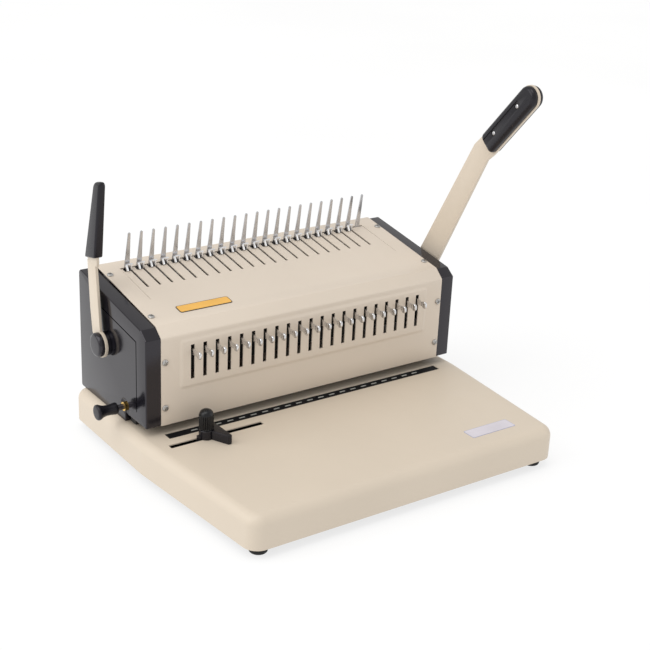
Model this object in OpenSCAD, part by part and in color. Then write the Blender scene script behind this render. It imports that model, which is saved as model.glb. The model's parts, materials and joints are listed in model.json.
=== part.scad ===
// Comb binding machine: a hand punch and a ring opener on a flat desk base.
// Millimetres. X along the row of holes, -Y towards the operator, Z up from the desk.
// Origin: on the desk, below the middle of the front cover.

/* [Hole row] */
// number of punched holes
holes = 21; // [5:1:21]
// distance between holes
pitch = 14.2875; // [14:0.0125:15]
// hole length along the row
punch_w = 8; // [6:0.5:9]
// hole width across the row
punch_t = 3; // [2:0.25:4]
// distance of the hole row behind the cover face
punch_y = 25; // [22:1:28]
// die to stripper gap that takes the sheets
paper_gap = 4.5; // [3:0.5:5]

/* [Cover] */
// half length of the sheet metal cover
cover_half = 178; // [170:1:185]
// underside of the cover
face_z0 = 55; // [52:1:60]
// top of the upright face
face_z1 = 150; // [140:1:160]
// depth of the chamfer above the face
chamfer_y = 11.44; // [8:0.01:15]
// height where the chamfer meets the sloping top
chamfer_z = 160; // [155:0.5:165]
// slope of the top in degrees
slope = 9.46; // [5:0.01:12]
// rear face of the machine
rear_y = 148.5; // [140:0.5:155]
// sheet thickness
sheet = 1.2; // [1:0.1:1.6]
// outer face of the end caps
cap_x = 195; // [190:1:200]

/* [Base] */
// half width of the base
base_half = 204; // [200:1:210]
// half width at the front corners
base_front_half = 187.5; // [180:0.5:200]
// front edge of the base
base_front = -190.5; // [-200:0.5:-150]
// underside of the base shell
base_z0 = 10; // [8:1:15]
// top of the base
base_z1 = 45; // [35:1:50]
// rounding of the top edge
base_round = 11; // [6:1:14]
// base wall
base_wall = 1.2; // [1:0.2:2]

/* [Levers] */
// punch shaft height
punch_z = 84; // [80:1:90]
// punch shaft depth
punch_axis_y = 94.5; // [90:0.5:100]
// binding shaft height
bind_z = 117.6; // [115:0.1:120]
// binding shaft depth
bind_axis_y = 86.4; // [84:0.1:90]
// lever bar thickness
bar_t = 3; // [2:0.5:4]
// width of the grip on the punch lever
grip_w = 24; // [22:0.5:26]

/* [Hooks and tines] */
// tine offset from the hole
tine_dx = -7.144; // [-9:0.001:-5]
// tine height above the top
tine_h = 41.5; // [30:0.5:50]
// hook height above the top
hook_h = 6.5; // [6:0.5:9]
// narrow slot offset from the hole
slot_dx = -4.6; // [-6:0.1:-4]

/* [Hidden] */
first_x = -(holes - 1)/2*pitch;
rear_cover_z1 = 164.8;
rear_top = chamfer_z + tan(slope)*(rear_y - chamfer_y);
corner_r = 6;
base_rear = 149;
base_bend_y = -5;
base_front_r = 16;
base_bend_r = 20;
base_rear_r = 13;
step_y = 46;
frame_x0 = 168;
frame_x1 = 171;
skin = sheet + 0.1;
guide_z0 = base_z1 + paper_gap;
guide_z1 = 63;
guide_end_z = 55.5;
beam_z0 = 105;
beam_z1 = 141;
pin_tip = 60;
post_x = 154.5;
beam_x = 162;
post_r = 3;
shaft_r = 7;
bind_r = 6;
depth_r = 3;
depth_y = 46.4;
depth_z = 62.3;
p_mod = 2;
p_teeth = 24;
b_mod = 1.5;
b_teeth = 48;
d_mod = 0.8;
d_teeth = 10;
play = 0.12;
rack_y = punch_axis_y - p_mod*p_teeth/2;
bind_u = (bind_axis_y - chamfer_y)*cos(slope) + (bind_z - chamfer_z)*sin(slope);
bind_w = (bind_z - chamfer_z)*cos(slope) - (bind_axis_y - chamfer_y)*sin(slope);
hook_w = bind_w + b_mod*b_teeth/2;
bush_wall = 3;
depth_bush = 1.8;
dish_r = 9;
frame_bores = [[punch_axis_y, punch_z, shaft_r + bush_wall], [bind_axis_y, bind_z, bind_r + bush_wall],
    [depth_y, depth_z, depth_r + depth_bush]];
depth_rack_z = depth_z - d_mod*d_teeth/2;
tongue_half = 157.2;
tongue_u0 = 49;
tongue_u1 = 116.3;
tongue_drop = 0.3;
slit_u1 = 118.4;
slit = 1.4;
face_slit = 2.2;
cover_path = [[0, face_z0], [rear_y, face_z0], [rear_y, rear_top], [chamfer_y, chamfer_z], [0, face_z1]];
cover_rounds = [0, 0, corner_r, 3, 3];
cap_path = [[0.7, face_z0], [step_y, face_z0], [step_y, base_z1], [base_rear, base_z1], [base_rear, 180.1],
    [11.6, 158.5], [0.7, 150.4]];
cap_rounds = [1, 0, 1, 1, 4, 1.2, 1.2];
die_x = 158;
die_y0 = 17.5;
die_y1 = 41;
die_flange = 3;
strip_half = 174.7;
strip_y0 = -11.3;
strip_y1 = 0.5;
slot_x0 = -183;
slot_x1 = -74.6;
slot_y0 = -30.2;
slot_y1 = -23.2;
tray_y0 = 5;
tray_y1 = 73;
tray_z0 = 12.3;
tray_z1 = 33;
tray_x0 = -160;
tray_x1 = 203.4;
screw_x = 173.6;
face_screw_z = [74.3, 124.1];
top_screw_u = [17.5, 108.7];
tap_r = 2.05;
panel_x = 158;
panel_z0 = 90;
panel_z1 = 145.8;
panel_edge = 4;
wide_hole = 12.6;
foot_x = [171, 186];
foot_y = [-174, 132];
knob_x = -141.5;
knob_y = -26.6;
knob_r = 7.65;
hub_z1 = 55;

function hole_x(i) = first_x + i*pitch;
function unit(v) = v/norm(v);
function left(v) = [-v[1], v[0]];
function turned(v, g) = [v[0]*cos(g) - v[1]*sin(g), v[0]*sin(g) + v[1]*cos(g)];
function cross2(u, v) = u[0]*v[1] - u[1]*v[0];
function bend(a, b, c) = atan2(cross2(unit(b - a), unit(c - b)), unit(b - a)*unit(c - b));
function prev(p, i) = p[(i + len(p) - 1) % len(p)];
function next(p, i) = p[(i + 1) % len(p)];

// an arc of radius r in place of the corner b
function corner(a, b, c, r, n) =
    let (t = bend(a, b, c), u = unit(b - a), s = sign(t), o = b - u*r*tan(abs(t)/2) + s*r*left(u))
    r <= 0 ? [b] : [for (k = [0:n]) o + r*turned(-s*left(u), t*k/n)];
function rounded(p, r, n = 6) =
    [for (i = [0:len(p) - 1]) each corner(prev(p, i), p[i], next(p, i), r[i], n)];

// a counter-clockwise outline moved inwards by t
function mitre(a, b, c, t) =
    let (m = left(unit(b - a)), n = left(unit(c - b))) b + t*(m + n)/(1 + m*n);
function inset(p, t) = [for (i = [0:len(p) - 1]) mitre(prev(p, i), p[i], next(p, i), t)];
function less(r, t) = [for (v = r) v > 0 ? max(v - t, 0.4) : 0];

// involute gear outline with n teeth of module m
function roll(rb, r) = sqrt(max(pow(r/rb, 2) - 1, 0))*180/PI;
function wind(rb, r) = roll(rb, r) - atan(roll(rb, r)*PI/180);
function flank(m, n, r, side) =
    let (rp = m*n/2, rb = rp*cos(20), half = 90/n - play/rp*180/PI)
    side*(half + wind(rb, rp) - wind(rb, r));
function tooth(m, n, at, steps = 4) =
    let (r0 = m*n/2 - 1.25*m, r1 = m*n/2 + m)
    [for (q = [0:2*steps + 1]) let (s = q <= steps ? -1 : 1, j = q <= steps ? q : 2*steps + 1 - q,
        r = r0 + (r1 - r0)*j/steps, g = at + flank(m, n, r, s)) r*[cos(g), sin(g)]];
function gear(m, n) = [for (k = [0:n - 1]) each tooth(m, n, 360*k/n)];

// one rack tooth pointing along +second axis, centred on c
function rack_tooth(m, c) =
    [[c - PI*m/4 + play - 1.25*m*tan(20), -1.3*m], [c + PI*m/4 - play + 1.25*m*tan(20), -1.3*m],
     [c + PI*m/4 - play - m*tan(20), m], [c - PI*m/4 + play + m*tan(20), m]];

module along_x(x0, x1) {
    translate([x0, 0, 0])
        rotate([90, 0, 90])
            linear_extrude(x1 - x0)
                children();
}

module rod(x0, x1, y, z, r) {
    translate([x0, y, z])
        rotate([0, 90, 0])
            cylinder(h = x1 - x0, r = r, $fn = 64);
}

module block(a, b) {
    translate(a)
        cube(b - a);
}

module on_top() {
    translate([0, chamfer_y, chamfer_z])
        rotate([slope, 0, 0])
            children();
}

module pair() {
    children();
    mirror([1, 0, 0])
        children();
}

// the base outline carried upwards with a rounded top edge, moved inwards by t
module base_form(t, z0, z1, round) {
    lean = atan2(base_half - base_front_half, base_bend_y - base_front);
    plan = [[base_half - base_rear_r, base_rear - base_rear_r, base_rear_r - t],
        [base_half - base_bend_r, base_bend_y + base_bend_r*tan(lean/2), base_bend_r - t],
        [base_front_half - base_front_r*tan(45 - lean/2), base_front + base_front_r, base_front_r - t]];
    hull()
        pair()
            for (p = plan) {
                translate([p[0], p[1], z0])
                    rotate_extrude($fn = 48)
                        polygon(concat([[0, 0], [p[2], 0]],
                            [for (a = [0:18:90])
                                [p[2] - round + round*cos(a), z1 - z0 - round + round*sin(a)]],
                            [[0, z1 - z0]]));
            }
}

module base_shell() {
    color([0.86, 0.79, 0.68])
        difference() {
            base_form(0, base_z0, base_z1, base_round);
            base_form(base_wall, base_z0 - 1, base_z1 - base_wall, base_round - base_wall);
            block([-die_x - 0.3, die_y0 - 0.3, 40], [die_x + 0.3, die_y1 + 0.3, 50]);
            block([-strip_half, strip_y0, 40], [strip_half, strip_y1, 50]);
            block([slot_x0, slot_y0, 40], [slot_x1, slot_y1, 50]);
            block([190, tray_y0 - 0.5, base_z0 - 1], [base_half + 1, tray_y1 + 0.5, tray_z1 + 0.5]);
        }
}

module base_plate() {
    color([0.25, 0.25, 0.27]) {
        difference() {
            along_z(10.5, 12)
                plate_outline();
            pair()
                for (k = [0, 1])
                    translate([foot_x[k], foot_y[k], 9])
                        cylinder(h = 5, r = 2.2, $fn = 24);
        }
        for (y = [2.6, tray_y1 + 0.4])
            block([-165, y, 12], [195, y + 2, 18]);
    }
}

module along_z(z0, z1) {
    translate([0, 0, z0])
        linear_extrude(z1 - z0)
            children();
}

module plate_outline() {
    gap = base_wall + 0.6;
    path = [[-base_front_half, base_front], [base_front_half, base_front], [base_half, base_bend_y],
        [base_half, base_rear], [-base_half, base_rear], [-base_half, base_bend_y]];
    polygon(rounded(inset(path, gap), [base_front_r, base_front_r, 0, base_rear_r, base_rear_r, 0]));
}

// four screwed feet and a glued pad under the die
module rubber_feet() {
    color([0.08, 0.08, 0.08]) {
        foot_form();
        pair()
            for (k = [0, 1])
                translate([foot_x[k], foot_y[k], 0])
                    difference() {
                        foot_form();
                        translate([0, 0, -1])
                            cylinder(h = 5, r = 4.5, $fn = 32);
                        cylinder(h = 12, r = 2.2, $fn = 24);
                    }
    }
}

module foot_form() {
    rotate_extrude($fn = 48)
        polygon([[0, 0], [8.5, 0], [9.5, 1.5], [9.5, 10.5], [0, 10.5]]);
}

module marker_strip() {
    color([0.07, 0.07, 0.08])
        block([-strip_half + 0.3, strip_y0 + 0.3, 41.8], [strip_half - 0.3, strip_y1 - 0.3, 44.4]);
    color([0.07, 0.07, 0.08])
        block([-strip_half - 3, strip_y0 - 3, 41.8], [strip_half + 3, strip_y1 + 3, 43]);
    color([0.85, 0.85, 0.82])
        for (i = [0:holes - 1])
            block([hole_x(i) - 3.5, -5.8, 44.4], [hole_x(i) + 3.5, -4.2, 44.6]);
}

module label_plate() {
    color([0.85, 0.86, 0.92])
        along_z(45, 45.3)
            polygon(rounded([[94.5, -165.3], [152.5, -165.3], [152.5, -148.4], [94.5, -148.4]],
                [2, 2, 2, 2]));
}

module front_cover() {
    color([0.88, 0.81, 0.7])
        difference() {
            union() {
                difference() {
                    along_x(-cover_half, cover_half)
                        polygon(rounded(cover_path, cover_rounds));
                    along_x(-cover_half - 1, cover_half + 1)
                        polygon(rounded(inset(cover_path, sheet), less(cover_rounds, sheet)));
                    block([-200, sheet, 50], [200, rear_y - sheet, 58]);
                    block([-200, rear_y - 3, 50], [200, rear_y + 5, rear_cover_z1 + 0.2]);
                    block([panel_edge - panel_x, -1, panel_z0 + panel_edge],
                        [panel_x - panel_edge, sheet + 1, panel_z1 - panel_edge]);
                    on_top()
                        block([-tongue_half - 0.4, tongue_u0, -6], [tongue_half + 0.4, slit_u1, 3]);
                }
                on_top()
                    along_x(-tongue_half, tongue_half)
                        polygon([[tongue_u0 - 0.5, -sheet], [tongue_u1, -tongue_drop - sheet],
                            [tongue_u1, -tongue_drop], [tongue_u0, 0], [tongue_u0 - 0.5, 0]]);
                raised_panel();
            }
            for (i = [0:holes - 1]) {
                block([hole_x(i) - face_slit, -3, 100.5], [hole_x(i) + face_slit, 4, 138]);
                on_top() {
                    block([hole_x(i) + slot_dx - slit, 73, -8], [hole_x(i) + slot_dx + slit, 110.5, 3]);
                    block([hole_x(i) - wide_hole, 110, -8], [hole_x(i) + slot_dx + slit, 119, 3]);
                }
            }
            pair() {
                for (z = face_screw_z)
                    translate([screw_x, 5, z])
                        rotate([90, 0, 0])
                            cylinder(h = 10, r = 2.1, $fn = 24);
                on_top()
                    for (u = top_screw_u)
                        translate([screw_x, u, -5])
                            cylinder(h = 10, r = 2.1, $fn = 24);
            }
        }
}

// low bevelled panel round the front slots, pressed out of the face sheet
module raised_panel() {
    proud = 1.2;
    difference() {
        intersection() {
            along_x(-panel_x, panel_x)
                polygon([[0.2, panel_z0], [0.2, panel_z1], [0, panel_z1], [-proud, panel_z1 - panel_edge],
                    [-proud, panel_z0 + panel_edge], [0, panel_z0]]);
            along_z(panel_z0 - 1, panel_z1 + 1)
                polygon([[-panel_x, 0.2], [-panel_x, 0], [panel_edge - panel_x, -proud],
                    [panel_x - panel_edge, -proud], [panel_x, 0], [panel_x, 0.2]]);
        }
        block([panel_edge - panel_x, 0, panel_z0 + panel_edge],
            [panel_x - panel_edge, 1, panel_z1 - panel_edge]);
    }
}

// flat sheet with two rows of vent slots
module rear_cover() {
    vent_w = 16;
    vent_h = 4;
    vent_pitch = 24;
    color([0.88, 0.81, 0.7])
        difference() {
            block([-cover_half, rear_y - sheet, base_z1 + 1], [cover_half, rear_y, rear_cover_z1]);
            for (z = [86, 98])
                for (i = [-4:4])
                    translate([i*vent_pitch, rear_y, z])
                        block([-vent_w/2, -5, 0], [vent_w/2, 2, vent_h]);
        }
}

// end cap drawn on the right: a moulded shell with a rounded outer edge
module cap_shell() {
    wall = 2.5;
    edge = 1.2;
    difference() {
        union() {
            along_x(cover_half, cap_x - edge)
                polygon(rounded(cap_path, cap_rounds));
            for (k = [0:2])
                along_x(cap_x - edge + edge*sin(k*30), cap_x - edge + edge*sin((k + 1)*30))
                    polygon(rounded(inset(cap_path, edge - edge*cos((k + 0.5)*30)), cap_rounds));
        }
        along_x(cover_half - 1, cap_x - wall)
            polygon(inset(cap_path, wall));
        along_x(cap_x - 0.6, cap_x + 1)
            polygon([[20, 66], [21.5, 66], [21.5, 142.4], [97, 153], [97, 154.5], [20, 143.7]]);
    }
    for (p = [[30, 125], [130, 165], [130, 60]])
        rod(frame_x1, cap_x - wall + 0.5, p[0], p[1], 4);
    block([cover_half, 33, 45.6], [190, 43.4, face_z0 + 1]);
}

module left_cap() {
    color([0.1, 0.11, 0.14])
        difference() {
            mirror([1, 0, 0])
                cap_shell();
            rod(-cap_x - 1, -cover_half, depth_y, depth_z, depth_r + depth_bush + 0.3);
            translate([-cap_x, depth_y, depth_z])
                rotate([0, 90, 0])
                    rotate_extrude($fn = 48)
                        polygon([[0, -1], [dish_r, -1], [dish_r, 0], [6, 2.3], [0, 2.3]]);
            rod(-cap_x - 1, -cover_half, bind_axis_y, bind_z, bind_r + 0.5);
        }
}

module right_cap() {
    color([0.1, 0.11, 0.14])
        difference() {
            cap_shell();
            rod(cover_half, cap_x + 1, punch_axis_y, punch_z, shaft_r + 0.5);
        }
}

// upright side plate with a foot flange, and lugs behind the cover's screws
module side_frame(bores) {
    edge = inset(cover_path, skin);
    low_z = 64;
    lug = 2;
    lug_half = 7;
    lug_x1 = cover_half - 0.4;
    path = [[skin, low_z], [step_y, low_z], [step_y, base_z1], edge[1] - [0, edge[1][1] - base_z1], edge[2],
        edge[3], edge[4]];
    difference() {
        union() {
            along_x(frame_x0, frame_x1)
                polygon(rounded(path, [0, 0, 0, 0, corner_r - skin, 1.4, 1.4]));
            block([150, low_z, base_z1], [frame_x0 + 1, 140, base_z1 + 1.5]);
            for (z = face_screw_z)
                block([frame_x0 + 1, skin, z - lug_half], [lug_x1, skin + lug, z + lug_half]);
            on_top()
                for (u = top_screw_u)
                    block([frame_x0 + 1, u - lug_half, -skin - lug], [lug_x1, u + lug_half, -skin]);
        }
        for (b = bores)
            rod(frame_x0 - 1, frame_x1 + 1, b[0], b[1], b[2] + 0.02);
        for (z = face_screw_z)
            translate([screw_x, 9, z])
                rotate([90, 0, 0])
                    cylinder(h = 10, r = tap_r, $fn = 24);
        on_top()
            for (u = top_screw_u)
                translate([screw_x, u, -8])
                    cylinder(h = 10, r = tap_r, $fn = 24);
        rod(frame_x0 - 1, frame_x1 + 1, 62, 140, 9);
    }
}

module left_frame() {
    color([0.55, 0.56, 0.58])
        mirror([1, 0, 0])
            framed(frame_bores);
}

module right_frame() {
    color([0.55, 0.56, 0.58])
        framed(frame_bores);
}

// frame with a lug that carries the depth shaft
module framed(bores) {
    difference() {
        union() {
            side_frame([bores[0], bores[1]]);
            along_x(frame_x0, frame_x1)
                polygon([[37, 66], [37, 60], [40, 56.5], [step_y + 0.5, 56.5], [step_y + 0.5, 66]]);
        }
        rod(frame_x0 - 1, frame_x1 + 1, bores[2][0], bores[2][1], bores[2][2] + 0.02);
    }
}

module pan_head(r, h) {
    rotate_extrude($fn = 32)
        polygon([[0, 0], [r, 0], [r, h*0.45], [r*0.82, h*0.8], [r*0.4, h], [0, h]]);
}

module pan_screw(len) {
    difference() {
        pan_head(3.4, 2);
        block([-0.5, -2, 1], [0.5, 2, 3]);
        block([-2, -0.5, 1], [2, 0.5, 3]);
    }
    translate([0, 0, -len])
        cylinder(h = len, r = 1.9, $fn = 24);
}

module body_screws() {
    color([0.75, 0.75, 0.77])
        pair() {
            for (z = face_screw_z)
                translate([screw_x, 0, z])
                    rotate([90, 0, 0])
                        pan_screw(6);
            on_top()
                for (u = top_screw_u)
                    translate([screw_x, u, 0])
                        pan_screw(6);
            for (k = [0, 1])
                translate([foot_x[k], foot_y[k], 4])
                    rotate([180, 0, 0])
                        pan_screw(9.5);
        }
}

module badge_plate() {
    color([0.85, 0.6, 0.12])
        on_top()
            along_z(0, 0.6)
                polygon(rounded([[-142, 13.7], [-80.6, 13.7], [-80.6, 26.9], [-142, 26.9]],
                    [2.5, 2.5, 2.5, 2.5]));
}

module die_plate() {
    color([0.6, 0.61, 0.63])
        difference() {
            union() {
                block([-die_x, die_y0, 37], [die_x, die_y1, base_z1]);
                block([-die_x - 6, die_y0 - die_flange, 37],
                    [die_x + 6, die_y1 + die_flange, base_z1 - base_wall]);
            }
            for (i = [0:holes - 1])
                punch_hole(i, 30, 50, 0.08);
        }
}

module punch_hole(i, z0, z1, gap) {
    block([hole_x(i) - punch_w/2 - gap, punch_y - punch_t/2 - gap, z0],
        [hole_x(i) + punch_w/2 + gap, punch_y + punch_t/2 + gap, z1]);
}

module punch_guide() {
    color([0.62, 0.63, 0.65]) {
        difference() {
            union() {
                block([-die_x, 14, guide_z0], [die_x, 40, guide_z1]);
                block([-frame_x0, 14, guide_end_z], [frame_x0, 40, guide_z1]);
            }
            for (i = [0:holes - 1])
                punch_hole(i, 40, 70, 0.08);
        }
        pair()
            block([158.5, 31, base_z1], [166, 40, guide_end_z]);
    }
}

module guide_posts() {
    color([0.8, 0.81, 0.83])
        pair()
            translate([post_x, punch_y, guide_z1]) {
                cylinder(h = 87, r = post_r, $fn = 48);
                cylinder(h = 2, r = 3.9, $fn = 48);
            }
}

module return_springs() {
    color([0.5, 0.5, 0.52])
        pair()
            translate([post_x, punch_y, guide_z1])
                difference() {
                    cylinder(h = beam_z0 - guide_z1, r = 5.6, $fn = 40);
                    translate([0, 0, -1])
                        cylinder(h = beam_z0, r = 4.2, $fn = 40);
                }
}

module punch_beam() {
    color([0.42, 0.43, 0.45])
        difference() {
            block([-beam_x, 10, beam_z0], [beam_x, 40, beam_z1]);
            pair()
                translate([post_x, punch_y, 100])
                    cylinder(h = 50, r = post_r + 0.06, $fn = 48);
            for (i = [0:holes - 1]) {
                block([hole_x(i) - 1.15, 9, 126.2], [hole_x(i) + 1.15, 33, 134.6]);
                punch_hole(i, 100, 114, 0.02);
            }
        }
}

module punch_pins() {
    color([0.7, 0.71, 0.73])
        for (i = [0:holes - 1])
            translate([hole_x(i), punch_y + punch_t/2, 0])
                rotate([90, 0, 0])
                    linear_extrude(punch_t)
                        polygon([[-punch_w/2, pin_tip], [0, pin_tip + 1.8], [punch_w/2, pin_tip],
                            [punch_w/2, 114], [-punch_w/2, 114]]);
}

// a rack on an arm behind each end of the beam
module punch_racks() {
    rack_x0 = 136;
    rack_x1 = 144;
    arm_z0 = 108;
    arm_z1 = 120;
    back_y = 60;
    color([0.5, 0.51, 0.53])
        pair() {
            along_x(rack_x0, rack_x1)
                intersection() {
                    union() {
                        translate([rack_y, 0])
                            rotate(-90)
                                for (k = [-1:4])
                                    mirror([1, 0])
                                        polygon(rack_tooth(p_mod, punch_z + (k + 0.5)*PI*p_mod));
                        translate([back_y, 76])
                            square([rack_y - back_y - 1.25*p_mod, 44]);
                    }
                    translate([back_y, 76])
                        square([20, 44]);
                }
            block([rack_x0 - 4, 40, arm_z0], [rack_x1, back_y + 1, arm_z1]);
            block([rack_x0 - 12, 40, arm_z0], [rack_x1 + 6, 43, 136]);
        }
}

// cross shaft with a pinion and hub near each end and a washer outside the lever
module punch_shaft() {
    color([0.7, 0.71, 0.73]) {
        difference() {
            union() {
                rod(-frame_x1 - 2, 206, punch_axis_y, punch_z, shaft_r);
                pair()
                    translate([0, punch_axis_y, punch_z])
                        along_x(136.5, 143.5)
                            polygon(gear(p_mod, p_teeth));
                pair()
                    rod(130, 150, punch_axis_y, punch_z, 12);
            }
            rod(204, 207, punch_axis_y, punch_z, 3);
        }
        rod(202.9, 205.2, punch_axis_y, punch_z, 11);
    }
}

// a flat bar given by its centre line and its width at each point
function side_pts(c, w, s) =
    [for (i = [0:len(c) - 1])
        let (d = unit(c[min(i + 1, len(c) - 1)] - c[max(i - 1, 0)])) c[i] + s*w[i]/2*left(d)];
function strap(c, w) =
    concat(side_pts(c, w, -1), [for (i = [len(c) - 1:-1:0]) side_pts(c, w, 1)[i]]);

grip_foot = [-32.8, 309.7];
grip_tip = [-88.7, 372.8];
grip_dir = unit(grip_tip - grip_foot);
punch_line = [[punch_axis_y, punch_z], [50.65, 162.35], [-21.7, 299.2], grip_foot, grip_tip];
bar_proud = 0.8;
punch_width = [34, 31, grip_w + 2*bar_proud, grip_w + 2*bar_proud, grip_w + 2*bar_proud];
punch_x0 = 199.5;
punch_x1 = punch_x0 + bar_t;
half_t = 6.5;
grip_holes = [for (d = [17, 64.5]) grip_tip - d*grip_dir - 2.2*left(grip_dir)];

module punch_lever() {
    color([0.88, 0.81, 0.7])
        difference() {
            union() {
                along_x(punch_x0, punch_x1)
                    polygon(strap(punch_line, punch_width));
                rod(punch_x0, punch_x1, grip_tip[0], grip_tip[1], grip_w/2 + bar_proud);
                rod(punch_x0, punch_x1, punch_axis_y, punch_z, 19);
                rod(cap_x + 0.4, punch_x0 + 0.1, punch_axis_y, punch_z, 13);
            }
            rod(cap_x, punch_x1 + 1, punch_axis_y, punch_z, shaft_r);
            for (p = grip_holes)
                rod(punch_x0 - 1, punch_x1 + 1, p[0], p[1], 2.1);
        }
}

// one moulded half of the grip, with a counterbored hole for each screw head
module grip_half(x0, x1, head_x0, head_x1) {
    difference() {
        along_x(x0, x1)
            polygon(rounded(strap([grip_foot, grip_tip + grip_w/2*grip_dir], [grip_w, grip_w]),
                [5, grip_w/2 - 0.05, grip_w/2 - 0.05, 5], 10));
        for (p = grip_holes) {
            rod(x0 - 1, x1 + 1, p[0], p[1], 2.1);
            rod(head_x0, head_x1, p[0], p[1], 3);
        }
    }
}

module punch_grip() {
    sink = 2.5;
    x0 = punch_x0 - half_t;
    x1 = punch_x1 + half_t;
    color([0.1, 0.11, 0.14]) {
        grip_half(x0, punch_x0, x0 - 1, x0 + sink);
        grip_half(punch_x1, x1, x1 - sink, x1 + 1);
    }
}

module grip_screws() {
    head = 1.7;
    x0 = punch_x0 - half_t + 2.5;
    x1 = punch_x1 + half_t - 2.5;
    color([0.7, 0.7, 0.72])
        for (p = grip_holes) {
            rod(x0, x1, p[0], p[1], 1.9);
            rod(x0 - head, x0, p[0], p[1], 2.5);
            rod(x1, x1 + head, p[0], p[1], 2.5);
        }
}

// one upright row of tapered tines, the first left of the first hole
module tine_comb() {
    root_w = -6;
    root_half = 3.2;
    tip_r = 1.6;
    u0 = 116.6;
    u1 = 118.1;
    color([0.85, 0.86, 0.87])
        on_top() {
            for (i = [0:holes])
                translate([hole_x(i) + tine_dx, u1, 0])
                    rotate([90, 0, 0])
                        linear_extrude(u1 - u0)
                            polygon(concat([[-root_half, root_w - 1], [root_half, root_w - 1]],
                                [for (a = [0:30:180]) [tip_r*cos(a), tine_h - tip_r + tip_r*sin(a)]]));
            block([-tongue_half, u0, -25], [tongue_half, u1, root_w]);
            block([-frame_x0, u0, -45], [frame_x0, u1, -24]);
        }
}

// cross plate that carries the hooks, with a rack under each end and a tongue in each rail
module hook_carriage() {
    x0 = 160;
    x1 = 165;
    u0 = 58;
    u1 = 116;
    top_w = -12;
    color([0.55, 0.56, 0.58])
        on_top() {
            block([-x1, 104, top_w - 4], [x1, u1, top_w]);
            pair() {
                block([x0, u0, hook_w + 1.9], [x1, u1, top_w]);
                block([x1 - 1, u0, top_w - 3], [x1 + 1.6, u1, top_w - 1]);
                intersection() {
                    along_x(x0, x1)
                        for (k = [-3:12])
                            translate([0, hook_w])
                                mirror([0, 1])
                                    polygon(rack_tooth(b_mod, bind_u + (k + 0.5)*PI*b_mod));
                    block([x0 - 1, u0, -30], [x1 + 1, u1, top_w]);
                }
            }
        }
}

// each hook is a neck through the narrow slot, an arm to the left and a claw pointing forward and down
module ring_hooks() {
    neck = 0.7;
    claw_x0 = -11.5;
    claw_x1 = -9.3;
    arm_x1 = -2.6;
    arm_u0 = 112.2;
    arm_u1 = 114.4;
    color([0.85, 0.86, 0.87])
        on_top()
            for (i = [0:holes - 1])
                translate([hole_x(i), 0, 0]) {
                    block([slot_dx - neck, 111.5, -12], [slot_dx + neck, arm_u1, hook_h]);
                    block([claw_x0, arm_u0, hook_h - 1.4], [arm_x1, arm_u1, hook_h]);
                    along_x(claw_x0, claw_x1)
                        polygon([[arm_u1, hook_h], [arm_u0, hook_h], [107.9, 1.4], [109.1, 0.8],
                            [arm_u1, hook_h - 1.4]]);
                }
}

module hook_rails() {
    color([0.5, 0.51, 0.53])
        pair()
            on_top()
                difference() {
                    block([165.3, 15, -19], [frame_x0, 114, -9]);
                    block([165, 14, -15.3], [166.9, 117, -12.7]);
                }
}

module bind_shaft() {
    color([0.7, 0.71, 0.73]) {
        rod(-205, frame_x1 + 2, bind_axis_y, bind_z, bind_r);
        pair()
            translate([0, bind_axis_y, bind_z])
                rotate([slope, 0, 0]) {
                    intersection() {
                        along_x(160, 164.9)
                            polygon(gear(b_mod, b_teeth));
                        along_x(159, 166)
                            polygon([[0, 0], [60*sin(68), 60*cos(68)], [60*sin(45), 70*cos(45)], [20, 60],
                                [-60*sin(12), 60*cos(12)]]);
                    }
                    rod(158, 165, 0, 0, 11);
                }
    }
}

bind_line = [[bind_axis_y, bind_z], [94.5, 129], [97.5, 152], [102.4, 204]];
bind_width = [18, 18, 19, 17.6];
tang_line = [[100.9, 202.6], [99.8, 208], [97.5, 222], [88, 270]];
tang_width = [21.5, 21.5, 12, 9];
bind_x1 = -199.5;
bind_x0 = bind_x1 - bar_t;
bind_mid = (bind_x0 + bind_x1)/2;

module bind_bar() {
    polygon(strap(bind_line, bind_width));
    polygon(strap(tang_line, tang_width));
}

module bind_lever() {
    color([0.88, 0.81, 0.7])
        difference() {
            union() {
                along_x(bind_x0, bind_x1)
                    bind_bar();
                rod(bind_x0, bind_x1, bind_axis_y, bind_z, 14);
                rod(bind_x1 - 0.1, -cap_x - 0.4, bind_axis_y, bind_z, 12.5);
            }
            rod(bind_x0 - 1, -cap_x, bind_axis_y, bind_z, bind_r);
        }
}

module bind_grip() {
    color([0.1, 0.11, 0.14])
        difference() {
            hull() {
                grip_slice(99.2, 208.7, 22.6, 10, 1.8);
                grip_slice(98.6, 212, 22.6, 10, 1.8);
                grip_slice(83.3, 285.5, 14.8, 8, 2.5);
                grip_slice(82.5, 289.5, 12.6, 7, 3);
                grip_slice(82, 291.7, 7.5, 4.5, 2.1);
            }
            along_x(bind_x0, bind_x1)
                polygon(strap(tang_line, tang_width));
        }
}

// a rounded rectangle square to the lever's axis
module grip_slice(y, z, depth, thick, r) {
    translate([bind_mid, y, z])
        rotate([-12, 0, 0])
            linear_extrude(0.3)
                polygon(rounded([[-thick/2, -depth/2], [thick/2, -depth/2], [thick/2, depth/2],
                    [-thick/2, depth/2]], [r, r, r, r], 4));
}

module bind_cap() {
    color([0.1, 0.11, 0.14])
        difference() {
            translate([bind_x0, bind_axis_y, bind_z])
                rotate([0, -90, 0])
                    rotate_extrude($fn = 64)
                        polygon([[0, 0], [12.75, 0], [12.75, 4.2], [11.2, 6], [0, 6]]);
            rod(-205, -202, bind_axis_y, bind_z, bind_r + 0.02);
        }
}

module bush(x0, x1, y, z, r, wall) {
    difference() {
        rod(x0, x1, y, z, r + wall);
        rod(x0 - 1, x1 + 1, y, z, r + 0.05);
    }
}

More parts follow.
